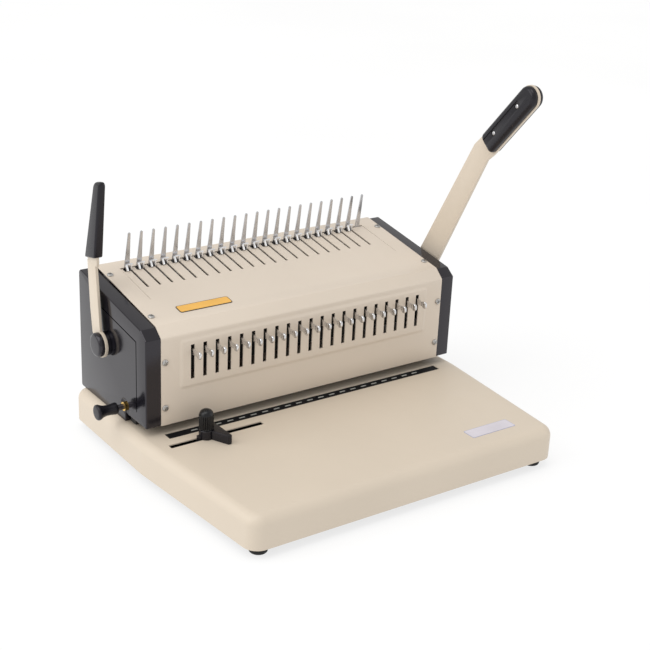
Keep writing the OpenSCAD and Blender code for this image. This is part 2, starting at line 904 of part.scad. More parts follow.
module shaft_bushes() {
    color([0.72, 0.55, 0.25]) {
        for (s = [-1, 1]) {
            x0 = s < 0 ? -frame_x1 - 1 : frame_x0 - 1;
            bush(x0, x0 + 5, punch_axis_y, punch_z, shaft_r, bush_wall);
            bush(x0, x0 + 5, bind_axis_y, bind_z, bind_r, bush_wall);
        }
        bush(frame_x0 - 1, frame_x1 + 1, depth_y, depth_z, depth_r, depth_bush);
        bush(-cap_x - 2, -frame_x0 + 1, depth_y, depth_z, depth_r, depth_bush);
    }
}

module depth_shaft() {
    color([0.78, 0.79, 0.8]) {
        rod(-207, frame_x1 + 1.5, depth_y, depth_z, depth_r);
        pair()
            translate([0, depth_y, depth_z])
                along_x(152, 156)
                    polygon(gear(d_mod, d_teeth));
    }
}

module depth_knob() {
    color([0.1, 0.1, 0.11])
        difference() {
            translate([-204.6, depth_y, depth_z])
                rotate([0, -90, 0])
                    rotate_extrude($fn = 64)
                        polygon([[0, 0], [5.6, 0], [6.2, 1], [6.2, 4], [5.4, 9], [5.6, 14], [8.2, 19.5],
                            [8.2, 22], [7.4, 22.9], [0, 22.9]]);
            rod(-207.02, -204, depth_y, depth_z, depth_r);
        }
}

// sliding plate behind the holes with a rack over each end
module paper_stop() {
    z0 = 45.3;
    z1 = 47.2;
    rack_half = 157;
    back = 58;
    rack_y0 = 43.2;
    color([0.6, 0.61, 0.63]) {
        block([-150, 30, z0], [150, back, z1]);
        pair() {
            block([149, 44, z0], [rack_half, back, z1]);
            along_x(rack_half - 5, rack_half - 1)
                intersection() {
                    union() {
                        translate([rack_y0, z0 + 0.7])
                            square([14, depth_rack_z - z0 - 0.7 - 1.25*d_mod]);
                        translate([0, depth_rack_z])
                            for (k = [-2:3])
                                polygon(rack_tooth(d_mod, depth_y + k*PI*d_mod));
                    }
                    translate([rack_y0, z0])
                        square([13.8, 20]);
                }
        }
    }
}

// round hub and a bar whose right face guides the sheets, on a foot that runs in the slot
module side_guide() {
    z0 = base_z1 + 0.1;
    color([0.09, 0.09, 0.1]) {
        translate([knob_x, knob_y, z0])
            cylinder(h = hub_z1 - z0, r = knob_r, $fn = 64);
        along_z(z0, hub_z1)
            polygon([[knob_x + 2, knob_y - 2], [knob_x + 2, knob_y + 7.2], [-133, -18], [-127.3, -17.8],
                [-126.2, -51.9], [-130.6, -52.3], [-139.2, -34.8], [knob_x, knob_y - 2]]);
        block([knob_x - 10, knob_y - 2.3, z0], [knob_x - 4, knob_y + 2.3, z0 + 4]);
        block([knob_x - 8, knob_y - 2, 42.8], [knob_x + 8, knob_y + 2, z0 + 1]);
        block([knob_x - 9, knob_y - 6, 40.4], [knob_x + 9, knob_y + 6, 43.4]);
    }
}

module guide_knob() {
    dome_z = 70.8;
    color([0.09, 0.09, 0.1])
        translate([knob_x, knob_y, 0])
            difference() {
                union() {
                    translate([0, 0, hub_z1 + 0.4])
                        cylinder(h = dome_z - hub_z1 - 0.4, r = knob_r, $fn = 64);
                    translate([0, 0, dome_z])
                        rotate_extrude($fn = 48)
                            polygon([[0, 0], [7.4, 0], [6.7, 2.4], [4.6, 4.7], [2.2, 5.9], [0, 6.2]]);
                }
                for (a = [0:18:342])
                    rotate(a)
                        translate([knob_r + 0.4, 0, hub_z1 + 2])
                            cylinder(h = dome_z - hub_z1 - 3, r = 0.8, $fn = 16);
            }
}

module chip_tray() {
    t = 1.8;
    front = 9;
    color([0.12, 0.12, 0.13])
        difference() {
            block([tray_x0, tray_y0, tray_z0], [tray_x1, tray_y1, tray_z1]);
            block([tray_x0 + t, tray_y0 + t, tray_z0 + t], [tray_x1 - front, tray_y1 - t, tray_z1 + 1]);
            block([tray_x1 - front + 3.5, tray_y0 + 17, tray_z0 + 3.7],
                [tray_x1 + 1, tray_y1 - 17, tray_z1 - 6]);
        }
}

// selector tab i: flat stem, narrow neck and a rounded head for the finger
module selector_tab(i) {
    x = hole_x(i - 1);
    mid = 130.4;
    color([0.85, 0.86, 0.87]) {
        along_x(x - 0.85, x + 0.85)
            polygon([[31, mid - 3.8], [31, mid + 3.8], [-2.6, mid + 3.8], [-5, mid + 2.6], [-12, mid + 2.6],
                [-12, mid - 2.6], [-5, mid - 2.6], [-2.6, mid - 3.8]]);
        along_x(x - 1.35, x + 1.35)
            polygon(rounded([[-17.5, mid - 4], [-11.2, mid - 4], [-11.2, mid + 4], [-17.5, mid + 4]],
                [2.9, 1.5, 1.5, 2.9]));
    }
}

base_shell();
base_plate();
rubber_feet();
marker_strip();
label_plate();
front_cover();
rear_cover();
left_cap();
right_cap();
left_frame();
right_frame();
body_screws();
badge_plate();
die_plate();
punch_guide();
guide_posts();
return_springs();
punch_beam();
punch_pins();
punch_racks();
punch_shaft();
punch_lever();
punch_grip();
grip_screws();
tine_comb();
hook_carriage();
ring_hooks();
hook_rails();
bind_shaft();
bind_lever();
bind_grip();
bind_cap();
shaft_bushes();
depth_shaft();
depth_knob();
paper_stop();
side_guide();
guide_knob();
chip_tray();
selector_tab(1);  // selector_tab_01
selector_tab(2);  // selector_tab_02
selector_tab(3);  // selector_tab_03
selector_tab(4);  // selector_tab_04
selector_tab(5);  // selector_tab_05
selector_tab(6);  // selector_tab_06
selector_tab(7);  // selector_tab_07
selector_tab(8);  // selector_tab_08
selector_tab(9);  // selector_tab_09
selector_tab(10);  // selector_tab_10
selector_tab(11);  // selector_tab_11
selector_tab(12);  // selector_tab_12
selector_tab(13);  // selector_tab_13
selector_tab(14);  // selector_tab_14
selector_tab(15);  // selector_tab_15
selector_tab(16);  // selector_tab_16
selector_tab(17);  // selector_tab_17
selector_tab(18);  // selector_tab_18
selector_tab(19);  // selector_tab_19
selector_tab(20);  // selector_tab_20
selector_tab(21);  // selector_tab_21
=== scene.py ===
"""Looks of the comb binding machine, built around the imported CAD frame. Lengths below are in mm."""
import json
import math

import bmesh
import bpy
from mathutils import Matrix, Vector


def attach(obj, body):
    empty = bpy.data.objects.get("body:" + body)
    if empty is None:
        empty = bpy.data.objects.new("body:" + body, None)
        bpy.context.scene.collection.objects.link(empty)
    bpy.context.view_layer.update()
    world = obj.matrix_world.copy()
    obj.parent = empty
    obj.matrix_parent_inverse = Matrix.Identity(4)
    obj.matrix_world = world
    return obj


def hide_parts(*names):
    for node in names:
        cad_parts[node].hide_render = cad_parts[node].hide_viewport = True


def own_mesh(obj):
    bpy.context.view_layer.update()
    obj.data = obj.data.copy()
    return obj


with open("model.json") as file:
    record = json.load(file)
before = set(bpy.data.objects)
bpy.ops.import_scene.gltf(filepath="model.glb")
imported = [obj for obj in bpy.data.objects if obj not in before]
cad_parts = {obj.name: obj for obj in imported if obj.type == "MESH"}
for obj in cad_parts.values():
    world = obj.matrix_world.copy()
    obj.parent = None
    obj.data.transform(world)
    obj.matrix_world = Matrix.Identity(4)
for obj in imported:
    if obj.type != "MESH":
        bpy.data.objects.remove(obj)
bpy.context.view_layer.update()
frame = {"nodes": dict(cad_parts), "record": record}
nodes = frame["nodes"]

MM = 0.001
PITCH = 14.2875
HOLES = 21
SLOPE = math.radians(9.46)
CHAMFER = (11.44, 160.0)
REAR_Y = 148.5
COVER_HALF = 178.0
SHEET = 1.2
CAP_X = 195.0
PUNCH_AXIS = (94.5, 84.0)
BIND_AXIS = (86.4, 117.6)
DEPTH_AXIS = (46.4, 62.3)
SCREW_X = 173.6
FACE_SCREW_Z = (74.3, 124.1)
TOP_SCREW_U = (17.5, 108.7)
FEET = [(171, -174), (186, 132), (-171, -174), (-186, 132)]
SLOT_DX = -4.6


def hole_x(i):
    return (i - (HOLES - 1) / 2) * PITCH


TOP = Matrix.Translation((0, CHAMFER[0], CHAMFER[1])) @ Matrix.Rotation(SLOPE, 4, "X")


# ---------------------------------------------------------------- outlines
def unit(v):
    n = math.hypot(*v)
    return (v[0] / n, v[1] / n)


def left(v):
    return (-v[1], v[0])


def rounded(path, radii, n=8):
    """A closed outline with each corner replaced by an arc of n steps."""
    out = []
    for i, b in enumerate(path):
        a, c = path[i - 1], path[(i + 1) % len(path)]
        r = radii[i] if hasattr(radii, "__len__") else radii
        if r <= 0:
            out.append(b)
            continue
        u = unit((b[0] - a[0], b[1] - a[1]))
        v = unit((c[0] - b[0], c[1] - b[1]))
        turn = math.atan2(u[0] * v[1] - u[1] * v[0], u[0] * v[0] + u[1] * v[1])
        s = 1 if turn >= 0 else -1
        k = r * math.tan(abs(turn) / 2)
        o = (b[0] - u[0] * k + s * r * left(u)[0], b[1] - u[1] * k + s * r * left(u)[1])
        d = (-s * left(u)[0], -s * left(u)[1])
        for j in range(n + 1):
            g = turn * j / n
            out.append((o[0] + r * (d[0] * math.cos(g) - d[1] * math.sin(g)),
                        o[1] + r * (d[0] * math.sin(g) + d[1] * math.cos(g))))
    return out


def inset(path, t):
    """A counter-clockwise outline moved inwards by t."""
    out = []
    for i, b in enumerate(path):
        a, c = path[i - 1], path[(i + 1) % len(path)]
        m = left(unit((b[0] - a[0], b[1] - a[1])))
        n = left(unit((c[0] - b[0], c[1] - b[1])))
        k = t / (1 + m[0] * n[0] + m[1] * n[1])
        out.append((b[0] + k * (m[0] + n[0]), b[1] + k * (m[1] + n[1])))
    return out


def circle(y, z, r, n=64):
    return [(y + r * math.cos(2 * math.pi * k / n), z + r * math.sin(2 * math.pi * k / n)) for k in range(n)]


def strap(centre, width):
    """Outline of a flat bar from its centre line and its width at each point."""
    sides = {1: [], -1: []}
    for i, c in enumerate(centre):
        a, b = centre[max(i - 1, 0)], centre[min(i + 1, len(centre) - 1)]
        n = left(unit((b[0] - a[0], b[1] - a[1])))
        for s in sides:
            sides[s].append((c[0] + s * width[i] / 2 * n[0], c[1] + s * width[i] / 2 * n[1]))
    return sides[-1] + sides[1][::-1]


# ---------------------------------------------------------------- meshes
def new_object(name, bm):
    bmesh.ops.recalc_face_normals(bm, faces=bm.faces)
    mesh = bpy.data.meshes.new(name)
    bm.to_mesh(mesh)
    bm.free()
    mesh.transform(Matrix.Scale(MM, 4))
    obj = bpy.data.objects.new(name, mesh)
    bpy.context.scene.collection.objects.link(obj)
    return obj


def add_loft(bm, rings, closed=True):
    """Rings of points joined by quads, with a face on each end."""
    rows = [[bm.verts.new(p) for p in ring] for ring in rings]
    n = len(rows[0])
    for a, b in zip(rows, rows[1:]):
        for k in range(n):
            bm.faces.new((a[k], a[(k + 1) % n], b[(k + 1) % n], b[k]))
    if closed:
        bm.faces.new(rows[0][::-1])
        bm.faces.new(rows[-1])


def loft(name, rings):
    bm = bmesh.new()
    add_loft(bm, rings)
    return new_object(name, bm)


def add_prism(bm, outline, x0, x1, place=None):
    """An outline in the upright plane carried along X."""
    rings = [[(x, p[0], p[1]) for p in outline] for x in (x0, x1)]
    if place is not None:
        rings = [[tuple(place @ Vector(p)) for p in r] for r in rings]
    add_loft(bm, rings)


def add_slab(bm, outline, z0, z1, place=None):
    """A plan outline carried along Z."""
    rings = [[(p[0], p[1], z) for p in outline] for z in (z0, z1)]
    if place is not None:
        rings = [[tuple(place @ Vector(p)) for p in r] for r in rings]
    add_loft(bm, rings)


def add_block(bm, a, b, place=None):
    add_slab(bm, [(a[0], a[1]), (b[0], a[1]), (b[0], b[1]), (a[0], b[1])], a[2], b[2], place)


def solid(name, build):
    bm = bmesh.new()
    build(bm)
    return new_object(name, bm)


def rounded_prism(outline, radii, x0, x1, r0=0.0, r1=0.0, steps=5, n=8):
    """Rings of an outline along X with its edges rounded by r0 at x0 and r1 at x1."""
    side = 1 if x1 > x0 else -1

    def ring(x, t):
        rr = [max(v - t, 0.3) if v > 0 else 0 for v in radii]
        return [(x, p[0], p[1]) for p in rounded(inset(outline, t), rr, n)]

    rings = []
    if r0:
        rings += [ring(x0 + side * r0 * (1 - math.cos(a)), r0 * (1 - math.sin(a)))
                  for a in [math.pi / 2 * k / steps for k in range(steps)]]
        rings.append(ring(x0 + side * r0, 0))
    else:
        rings.append(ring(x0, 0))
    if r1:
        rings.append(ring(x1 - side * r1, 0))
        rings += [ring(x1 - side * r1 * (1 - math.sin(a)), r1 * (1 - math.cos(a)))
                  for a in [math.pi / 2 * k / steps for k in range(1, steps + 1)]]
    else:
        rings.append(ring(x1, 0))
    return rings


def lathe(name, profile, place, n=64, ripple=None):
    """A profile of (radius, height) pairs turned about the placed Z axis; ripple takes some radius off."""
    bm = bmesh.new()
    rows = []
    for r, h in profile:
        if r <= 1e-6:
            rows.append([bm.verts.new(place @ Vector((0, 0, h)))])
            continue
        row = []
        for k in range(n):
            g = 2 * math.pi * k / n
            rr = r - (ripple(g, h) if ripple else 0)
            row.append(bm.verts.new(place @ Vector((rr * math.cos(g), rr * math.sin(g), h))))
        rows.append(row)
    for a, b in zip(rows, rows[1:]):
        for k in range(n):
            j = (k + 1) % n
            if len(a) == 1:
                bm.faces.new((a[0], b[j], b[k]))
            elif len(b) == 1:
                bm.faces.new((a[k], a[j], b[0]))
            else:
                bm.faces.new((a[k], a[j], b[j], b[k]))
    return new_object(name, bm)


def baked(obj):
    """Applies the object's modifiers to its mesh."""
    graph = bpy.context.evaluated_depsgraph_get()
    mesh = bpy.data.meshes.new_from_object(obj.evaluated_get(graph))
    obj.modifiers.clear()
    old = obj.data
    obj.data = mesh
    bpy.data.meshes.remove(old)
    return obj


def boolean(obj, other, mode="DIFFERENCE"):
    m = obj.modifiers.new("cut", "BOOLEAN")
    m.object = other
    m.operation = mode
    m.solver = "EXACT"
    bpy.context.view_layer.update()
    baked(obj)
    bpy.data.objects.remove(other)
    return obj


def bevel(obj, width, segments=2, angle=35):
    m = obj.modifiers.new("edge", "BEVEL")
    m.width = width * MM
    m.segments = segments
    m.limit_method = "ANGLE"
    m.angle_limit = math.radians(angle)
    m.use_clamp_overlap = True
    m.miter_outer = "MITER_ARC"
    bpy.context.view_layer.update()
    return baked(obj)


def smooth(obj, angle=30):
    for p in obj.data.polygons:
        p.use_smooth = True
    obj.data.set_sharp_from_angle(angle=math.radians(angle))
    return obj


def place_piece(obj, body, slot, material, *stands_for, angle=30):
    """Finishes a piece: shading, material, the body it rides on and the nodes it stands for."""
    smooth(obj, angle)
    obj.data.materials.clear()
    obj.data.materials.append(material)
    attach(obj, body)
    if stands_for:
        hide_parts(*stands_for)
    return obj


# ---------------------------------------------------------------- materials
class Nodes:
    """A material with a Principled shader and short calls for its texture nodes."""

    def __init__(self, name, **sockets):
        self.mat = bpy.data.materials.new(name)
        self.mat.use_nodes = True
        self.tree = self.mat.node_tree
        self.shader = self.tree.nodes["Principled BSDF"]
        for key, value in sockets.items():
            self.shader.inputs[key.replace("_", " ")].default_value = value
        self.coords = self.add("ShaderNodeTexCoord").outputs["Object"]

    def add(self, kind, **props):
        node = self.tree.nodes.new(kind)
        for key, value in props.items():
            setattr(node, key, value)
        return node

    def link(self, a, b):
        self.tree.links.new(a, b)

    def noise(self, scale, detail=3.0, rough=0.5, stretch=None):
        node = self.add("ShaderNodeTexNoise")
        node.inputs["Scale"].default_value = scale
        node.inputs["Detail"].default_value = detail
        node.inputs["Roughness"].default_value = rough
        source = self.coords
        if stretch is not None:
            mapping = self.add("ShaderNodeMapping")
            mapping.inputs["Scale"].default_value = stretch
            self.link(self.coords, mapping.inputs["Vector"])
            source = mapping.outputs["Vector"]
        self.link(source, node.inputs["Vector"])
        return node.outputs["Fac"]

    def ramp(self, value, stops):
        node = self.add("ShaderNodeValToRGB")
        node.color_ramp.elements[0].position = stops[0][0]
        node.color_ramp.elements[0].color = stops[0][1]
        node.color_ramp.elements[1].position = stops[-1][0]
        node.color_ramp.elements[1].color = stops[-1][1]
        for pos, col in stops[1:-1]:
            node.color_ramp.elements.new(pos).color = col
        self.link(value, node.inputs["Fac"])
        return node.outputs["Color"]

    def span(self, value, low, high):
        node = self.add("ShaderNodeMapRange")
        node.inputs["To Min"].default_value = low
        node.inputs["To Max"].default_value = high
        node.inputs["From Min"].default_value = 0.3
        node.inputs["From Max"].default_value = 0.7
        self.link(value, node.inputs["Value"])
        return node.outputs["Result"]

    def bump(self, value, strength, distance):
        node = self.add("ShaderNodeBump")
        node.inputs["Strength"].default_value = strength
        node.inputs["Distance"].default_value = distance
        self.link(value, node.inputs["Height"])
        self.link(node.outputs["Normal"], self.shader.inputs["Normal"])


def grey(v, tint=(1, 1, 1)):
    return (v * tint[0], v * tint[1], v * tint[2], 1)


def shade(colour, f):
    return (colour[0] * f, colour[1] * f, colour[2] * f, 1)


def paint(name, colour, rough=0.42):
    """Powder-coated sheet: fine orange peel, faint tone drift."""
    m = Nodes(name, Specular_IOR_Level=0.45)
    drift = m.noise(9.0, 4.0)
    m.link(m.ramp(drift, [(0.25, shade(colour, 0.975)), (0.75, shade(colour, 1.02))]),
           m.shader.inputs["Base Color"])
    m.link(m.span(m.noise(55.0, 5.0), rough - 0.05, rough + 0.06), m.shader.inputs["Roughness"])
    m.bump(m.noise(900.0, 2.0), 0.10, 0.0003)
    return m.mat


def plastic(name, colour, rough, grain, depth, spec=0.5, sheen=(1, 1, 1)):
    """Moulded plastic: its colour drifts a little and its grain is fine."""
    m = Nodes(name, Specular_IOR_Level=spec, Specular_Tint=grey(1, sheen))
    m.link(m.ramp(m.noise(14.0, 4.0), [(0.3, shade(colour, 0.85)), (0.7, shade(colour, 1.2))]),
           m.shader.inputs["Base Color"])
    m.link(m.span(m.noise(38.0, 6.0), rough - 0.04, rough + 0.06), m.shader.inputs["Roughness"])
    m.bump(m.noise(grain, 3.0), depth, 0.0003)
    return m.mat


def metal(name, colour, rough, stretch, depth=0.06):
    """Worked metal: streaks along one direction over a slow change of tone."""
    m = Nodes(name, Metallic=1.0)
    streak = m.noise(60.0, 4.0, 0.6, stretch)
    m.link(m.ramp(streak, [(0.3, shade(colour, 0.86)), (0.7, shade(colour, 1.1))]),
           m.shader.inputs["Base Color"])
    m.link(m.span(m.noise(25.0, 5.0, 0.55, stretch), rough - 0.06, rough + 0.08),
           m.shader.inputs["Roughness"])
    m.bump(streak, depth, 0.0002)
    return m.mat


CREAM = (0.645, 0.558, 0.452)
mat_cover = paint("cream_cover", (0.675, 0.588, 0.492))
mat_base = paint("cream_base", CREAM, 0.45)
mat_lever = paint("cream_lever", CREAM, 0.40)
mat_cap = plastic("black_gloss", (0.006, 0.0055, 0.008), 0.14, 700.0, 0.03, 0.55, (0.98, 0.93, 1.0))
mat_grip = plastic("black_grip", (0.008, 0.0075, 0.010), 0.26, 1100.0, 0.10, 0.36, (0.97, 0.94, 1.0))
mat_knob = plastic("black_knob", (0.005, 0.005, 0.006), 0.28, 1100.0, 0.05, 0.35)
# Matt black for the parts inside the housing is painted shade: it makes the interior seen through the slots and
# under the caps read dark.
mat_interior_shade = plastic("painted_shade_black", (0.016, 0.016, 0.017), 0.5, 900.0, 0.15)
mat_strip = plastic("black_strip", (0.006, 0.006, 0.007), 0.5, 900.0, 0.08, 0.25)
mat_rubber = plastic("foot_rubber", (0.012, 0.012, 0.012), 0.72, 600.0, 0.25, 0.3)
mat_mark = plastic("mark_ink", (0.47, 0.47, 0.43), 0.5, 500.0, 0.05)
mat_label = plastic("label_film", (0.60, 0.565, 0.615), 0.30, 400.0, 0.03)
mat_label_edge = plastic("label_edge", (0.36, 0.38, 0.52), 0.32, 400.0, 0.03)
mat_badge = plastic("badge_foil", (0.80, 0.44, 0.085), 0.35, 500.0, 0.02, 0.4)
mat_badge_edge = plastic("badge_edge", (0.025, 0.02, 0.014), 0.4, 500.0, 0.04)
mat_bright = metal("nickel_bright", (0.72, 0.715, 0.72), 0.22, (4, 4, 1))
mat_screw = metal("zinc_screw", (0.47, 0.46, 0.445), 0.34, (4, 4, 1))
mat_hook = metal("nickel_hook", (0.93, 0.93, 0.94), 0.34, (4, 4, 1))
mat_tine = metal("nickel_tine", (0.62, 0.63, 0.66), 0.28, (5, 5, 1))
mat_shaft = metal("dark_shaft", (0.16, 0.15, 0.16), 0.30, (1, 5, 5))
mat_zinc = metal("zinc_sheet", (0.50, 0.50, 0.50), 0.38, (1, 4, 1))
mat_tool = metal("tool_steel", (0.30, 0.30, 0.31), 0.40, (1, 5, 5))
mat_oxide = metal("black_oxide", (0.035, 0.035, 0.034), 0.50, (1, 5, 5))
mat_spring = metal("spring_wire", (0.38, 0.38, 0.39), 0.30, (1, 1, 3))
mat_brass = metal("brass_turned", (0.80, 0.52, 0.14), 0.26, (6, 1, 1))

# base_plate and chip_tray take the matt black painted shade of the interior.
CAD_LOOK = {
    "base_plate": mat_interior_shade, "rear_cover": mat_cover, "left_frame": mat_zinc, "right_frame": mat_zinc,
    "die_plate": mat_oxide, "punch_guide": mat_tool, "guide_posts": mat_bright, "punch_beam": mat_oxide,
    "punch_pins": mat_bright, "punch_racks": mat_tool, "punch_shaft": mat_tool, "hook_carriage": mat_zinc,
    "hook_rails": mat_zinc, "bind_shaft": mat_tool, "shaft_bushes": mat_brass, "depth_shaft": mat_shaft,
    "paper_stop": mat_zinc, "chip_tray": mat_interior_shade,
}
FALLBACK = {
    "painted_steel": mat_cover, "base_paint": mat_base, "black_plastic": mat_cap, "black_grip": mat_grip,
    "rubber": mat_rubber, "strip_plastic": mat_strip, "label_film": mat_label, "badge_foil": mat_badge,
    "zinc_steel": mat_zinc, "bright_steel": mat_bright, "tool_steel": mat_tool, "brass": mat_brass,
    "spring_steel": mat_spring,
}
slot_of = {s["node"]: s["material_slot"] for s in frame["record"]["subparts"]}
for name, node in nodes.items():
    look = CAD_LOOK.get(name, FALLBACK[slot_of[name]])
    node.data.materials.clear()
    node.data.materials.append(look)
    smooth(node, 28)


# ---------------------------------------------------------------- base
BASE_PATH = [(-187.5, -190.5), (187.5, -190.5), (204, -5), (204, 149), (-204, 149), (-204, -5)]
BASE_RADII = [16, 16, 20, 13, 13, 20]
BASE_WALL = 1.2
BASE_Z0, BASE_TOP, BASE_EDGE = 10, 45, 11
EDGE_STEPS = 10
CUT_Z = (40, 50)
STRIP_SLOT = (-174.7, -11.3, 174.7, 0.5)
GUIDE_SLOT = (-183, -30.2, -74.6, -23.2)
CHIP_HOLE = (-158.3, 17.2, 158.3, 41.3)
TRAY_MOUTH = ((190, 4.5, 9), (206, 73.5, 33.5))
SMALL_CORNER = 0.8


def box_path(x0, y0, x1, y1):
    return [(x0, y0), (x1, y0), (x1, y1), (x0, y1)]


def base_rings(t0, z0, z1, r):
    """The base's outline moved in by t0, from z0 up to z1, its top edge rounded by r."""
    def ring(z, t):
        path = inset(BASE_PATH, t0 + t)
        radii = [max(v - t0 - t, SMALL_CORNER) for v in BASE_RADII]
        return [(p[0], p[1], z) for p in rounded(path, radii, EDGE_STEPS)]

    rings = [ring(z0, 0), ring(z1 - r, 0)]
    return rings + [ring(z1 - r + r * math.sin(a), r - r * math.cos(a))
                    for a in [math.pi / 2 * k / EDGE_STEPS for k in range(1, EDGE_STEPS + 1)]]


def build_base():
    base = loft("base_housing", base_rings(0, BASE_Z0, BASE_TOP, BASE_EDGE))
    hollow = loft("hollow", base_rings(BASE_WALL, BASE_Z0 - 1, BASE_TOP - BASE_WALL, BASE_EDGE - BASE_WALL))
    boolean(base, hollow)

    def cuts(bm):
        add_slab(bm, box_path(*CHIP_HOLE), *CUT_Z)
        for slot in (STRIP_SLOT, GUIDE_SLOT):
            add_slab(bm, rounded(box_path(*slot), SMALL_CORNER), *CUT_Z)
        add_block(bm, *TRAY_MOUTH)

    boolean(base, solid("cuts", cuts))
    place_piece(base, "machine", "base_paint", mat_base, "base_shell", angle=25)


build_base()

# ---------------------------------------------------------------- marker strip, label and badge
STRIP_FACE = ((-174.4, -11, 43.0), (174.4, 0.2, 44.4))
STRIP_FLANGE = ((-177.7, -14.3, 41.8), (177.7, 3.5, 43))
DASH_HALF, DASH_Y, DASH_Z, DASH_CORNER = 3.5, (-5.8, -4.2), (44.38, 44.55), 0.3
LABEL_BOX, LABEL_CORNER, LABEL_MARGIN = (94.5, -165.3, 152.5, -148.4), 2, (0.6, 0.4)
BADGE_BOX, BADGE_CORNER, BADGE_MARGIN = (-142, 13.7, -80.6, 26.9), 2.5, (0.9, 0.8)


def build_strip():
    strip = solid("marker_strip_body", lambda bm: (add_block(bm, *STRIP_FACE), add_block(bm, *STRIP_FLANGE)))
    place_piece(strip, "machine", "strip_plastic", mat_strip, "marker_strip")

    def dashes(bm):
        for i in range(HOLES):
            dash = box_path(hole_x(i) - DASH_HALF, DASH_Y[0], hole_x(i) + DASH_HALF, DASH_Y[1])
            add_slab(bm, rounded(dash, DASH_CORNER, 3), *DASH_Z)

    place_piece(solid("marker_dashes", dashes), "machine", "strip_plastic", mat_mark)


def flat_card(name, box, r, z0, z1, place=None):
    return solid(name, lambda bm: add_slab(bm, rounded(box_path(*box), r, 5), z0, z1, place))


def within(box, margin):
    """A box made smaller by a margin on every side."""
    return (box[0] + margin, box[1] + margin, box[2] - margin, box[3] - margin)


def build_cards():
    """Two blank plates, each a dark edge with a lighter face on top."""
    (m, r), z = LABEL_MARGIN, BASE_TOP
    label = flat_card("label_edge", LABEL_BOX, LABEL_CORNER, z, z + 0.2)
    place_piece(label, "machine", "label_film", mat_label_edge, "label_plate")
    face = flat_card("label_face", within(LABEL_BOX, m), LABEL_CORNER - r, z + 0.2, z + 0.3)
    place_piece(face, "machine", "label_film", mat_label)
    m, r = BADGE_MARGIN
    badge = bevel(flat_card("badge_edge", BADGE_BOX, BADGE_CORNER, 0, 0.45, TOP), 0.12)
    place_piece(badge, "machine", "badge_foil", mat_badge_edge, "badge_plate")
    face = flat_card("badge_face", within(BADGE_BOX, m), BADGE_CORNER - r, 0.4, 0.6, TOP)
    place_piece(face, "machine", "badge_foil", mat_badge)


build_strip()
build_cards()

# ---------------------------------------------------------------- cover
REAR_TOP = CHAMFER[1] + math.tan(SLOPE) * (REAR_Y - CHAMFER[0])
COVER_Z0, REAR_SPLIT = 55, 164.9
COVER_PATH = [(0, COVER_Z0), (REAR_Y, COVER_Z0), (REAR_Y, REAR_TOP), CHAMFER, (0, 150)]
COVER_RADII = [0, 0, 6, 3.5, 3.5]
TONGUE_HALF = 157.2
TONGUE_U0, TONGUE_U1, SLIT_U1 = 49.0, 116.3, 118.4
TONGUE_DROP, TONGUE_GAP, TONGUE_STEPS = 0.3, 0.4, 14
SLIT, FACE_SLIT = 1.4, 2.2
FACE_SLOT_Z = (100.5, 138)
SLOT_U0, WIDE_U0, WIDE_U1 = 73, 110, 117.4
WIDE_HOLE = 12.6
SCREW_HOLE = 2.1
UPRIGHT = Matrix.Rotation(math.pi / 2, 4, "X")
PANEL_X, PANEL_Z, PANEL_RUN = 158.0, (90.0, 145.8), 4.6
PANEL_PROUD, PANEL_CORNER, PANEL_STEPS = 1.2, 5.0, 8
LAP = 0.01


def cover_slots(bm):
    for i in range(HOLES):
        x = hole_x(i)
        face = box_path(x - FACE_SLIT, FACE_SLOT_Z[0], x + FACE_SLIT, FACE_SLOT_Z[1])
        add_slab(bm, rounded(face, 0.45, 3), -4, 3, UPRIGHT)
        a, b, c = x + SLOT_DX - SLIT, x + SLOT_DX + SLIT, x - WIDE_HOLE
        slot = [(a, SLOT_U0), (b, SLOT_U0), (b, WIDE_U1), (c, WIDE_U1), (c, WIDE_U0), (a, WIDE_U0)]
        add_slab(bm, rounded(slot, [1.2, 1.2, 0.2, 0.2, 0.8, 0], 4), -7, 3, TOP)


def screw_holes(bm):
    for s in (-1, 1):
        for z in FACE_SCREW_Z:
            add_slab(bm, circle(s * SCREW_X, z, SCREW_HOLE, 24), -4, 5, UPRIGHT)
        for u in TOP_SCREW_U:
            add_slab(bm, circle(s * SCREW_X, u, SCREW_HOLE, 24), -5, 5, TOP)


def build_cover():
    outer = rounded(COVER_PATH, COVER_RADII, 10)
    inner = rounded(inset(COVER_PATH, SHEET), [r - SHEET for r in COVER_RADII], 10)
    sheet = [(0, COVER_Z0), (SHEET, COVER_Z0)] + inner[2:][::-1]
    sheet += [(REAR_Y - SHEET, REAR_SPLIT), (REAR_Y, REAR_SPLIT)] + outer[2:]
    skin = solid("cover_skin", lambda bm: add_prism(bm, sheet, -COVER_HALF, COVER_HALF))
    bevel(skin, 0.25, 2, 50)
    window = solid("window", lambda bm: add_block(
        bm, (-TONGUE_HALF - TONGUE_GAP, TONGUE_U0, -6), (TONGUE_HALF + TONGUE_GAP, SLIT_U1, 3), TOP))
    boolean(skin, window)
    pocket_x, (z0, z1) = PANEL_X - PANEL_RUN, PANEL_Z
    boolean(skin, solid("pocket", lambda bm: add_block(
        bm, (-pocket_x, -1, z0 + PANEL_RUN), (pocket_x, 3, z1 - PANEL_RUN))))
    shares = [k / TONGUE_STEPS for k in range(TONGUE_STEPS + 1)]
    over = [(TONGUE_U0 + t * (TONGUE_U1 - TONGUE_U0), -TONGUE_DROP * t ** 1.25) for t in shares]
    under = [(u, w - SHEET) for u, w in over][::-1]
    tongue = solid("cover_tongue", lambda bm: add_prism(bm, under + over, -TONGUE_HALF, TONGUE_HALF, TOP))
    panel = build_panel()
    for obj in (skin, tongue, panel):
        boolean(obj, solid("slots", cover_slots))
    boolean(skin, solid("holes", screw_holes))
    place_piece(skin, "machine", "painted_steel", mat_cover, "front_cover", angle=25)
    for obj in (tongue, panel):
        place_piece(obj, "machine", "painted_steel", mat_cover, angle=40)


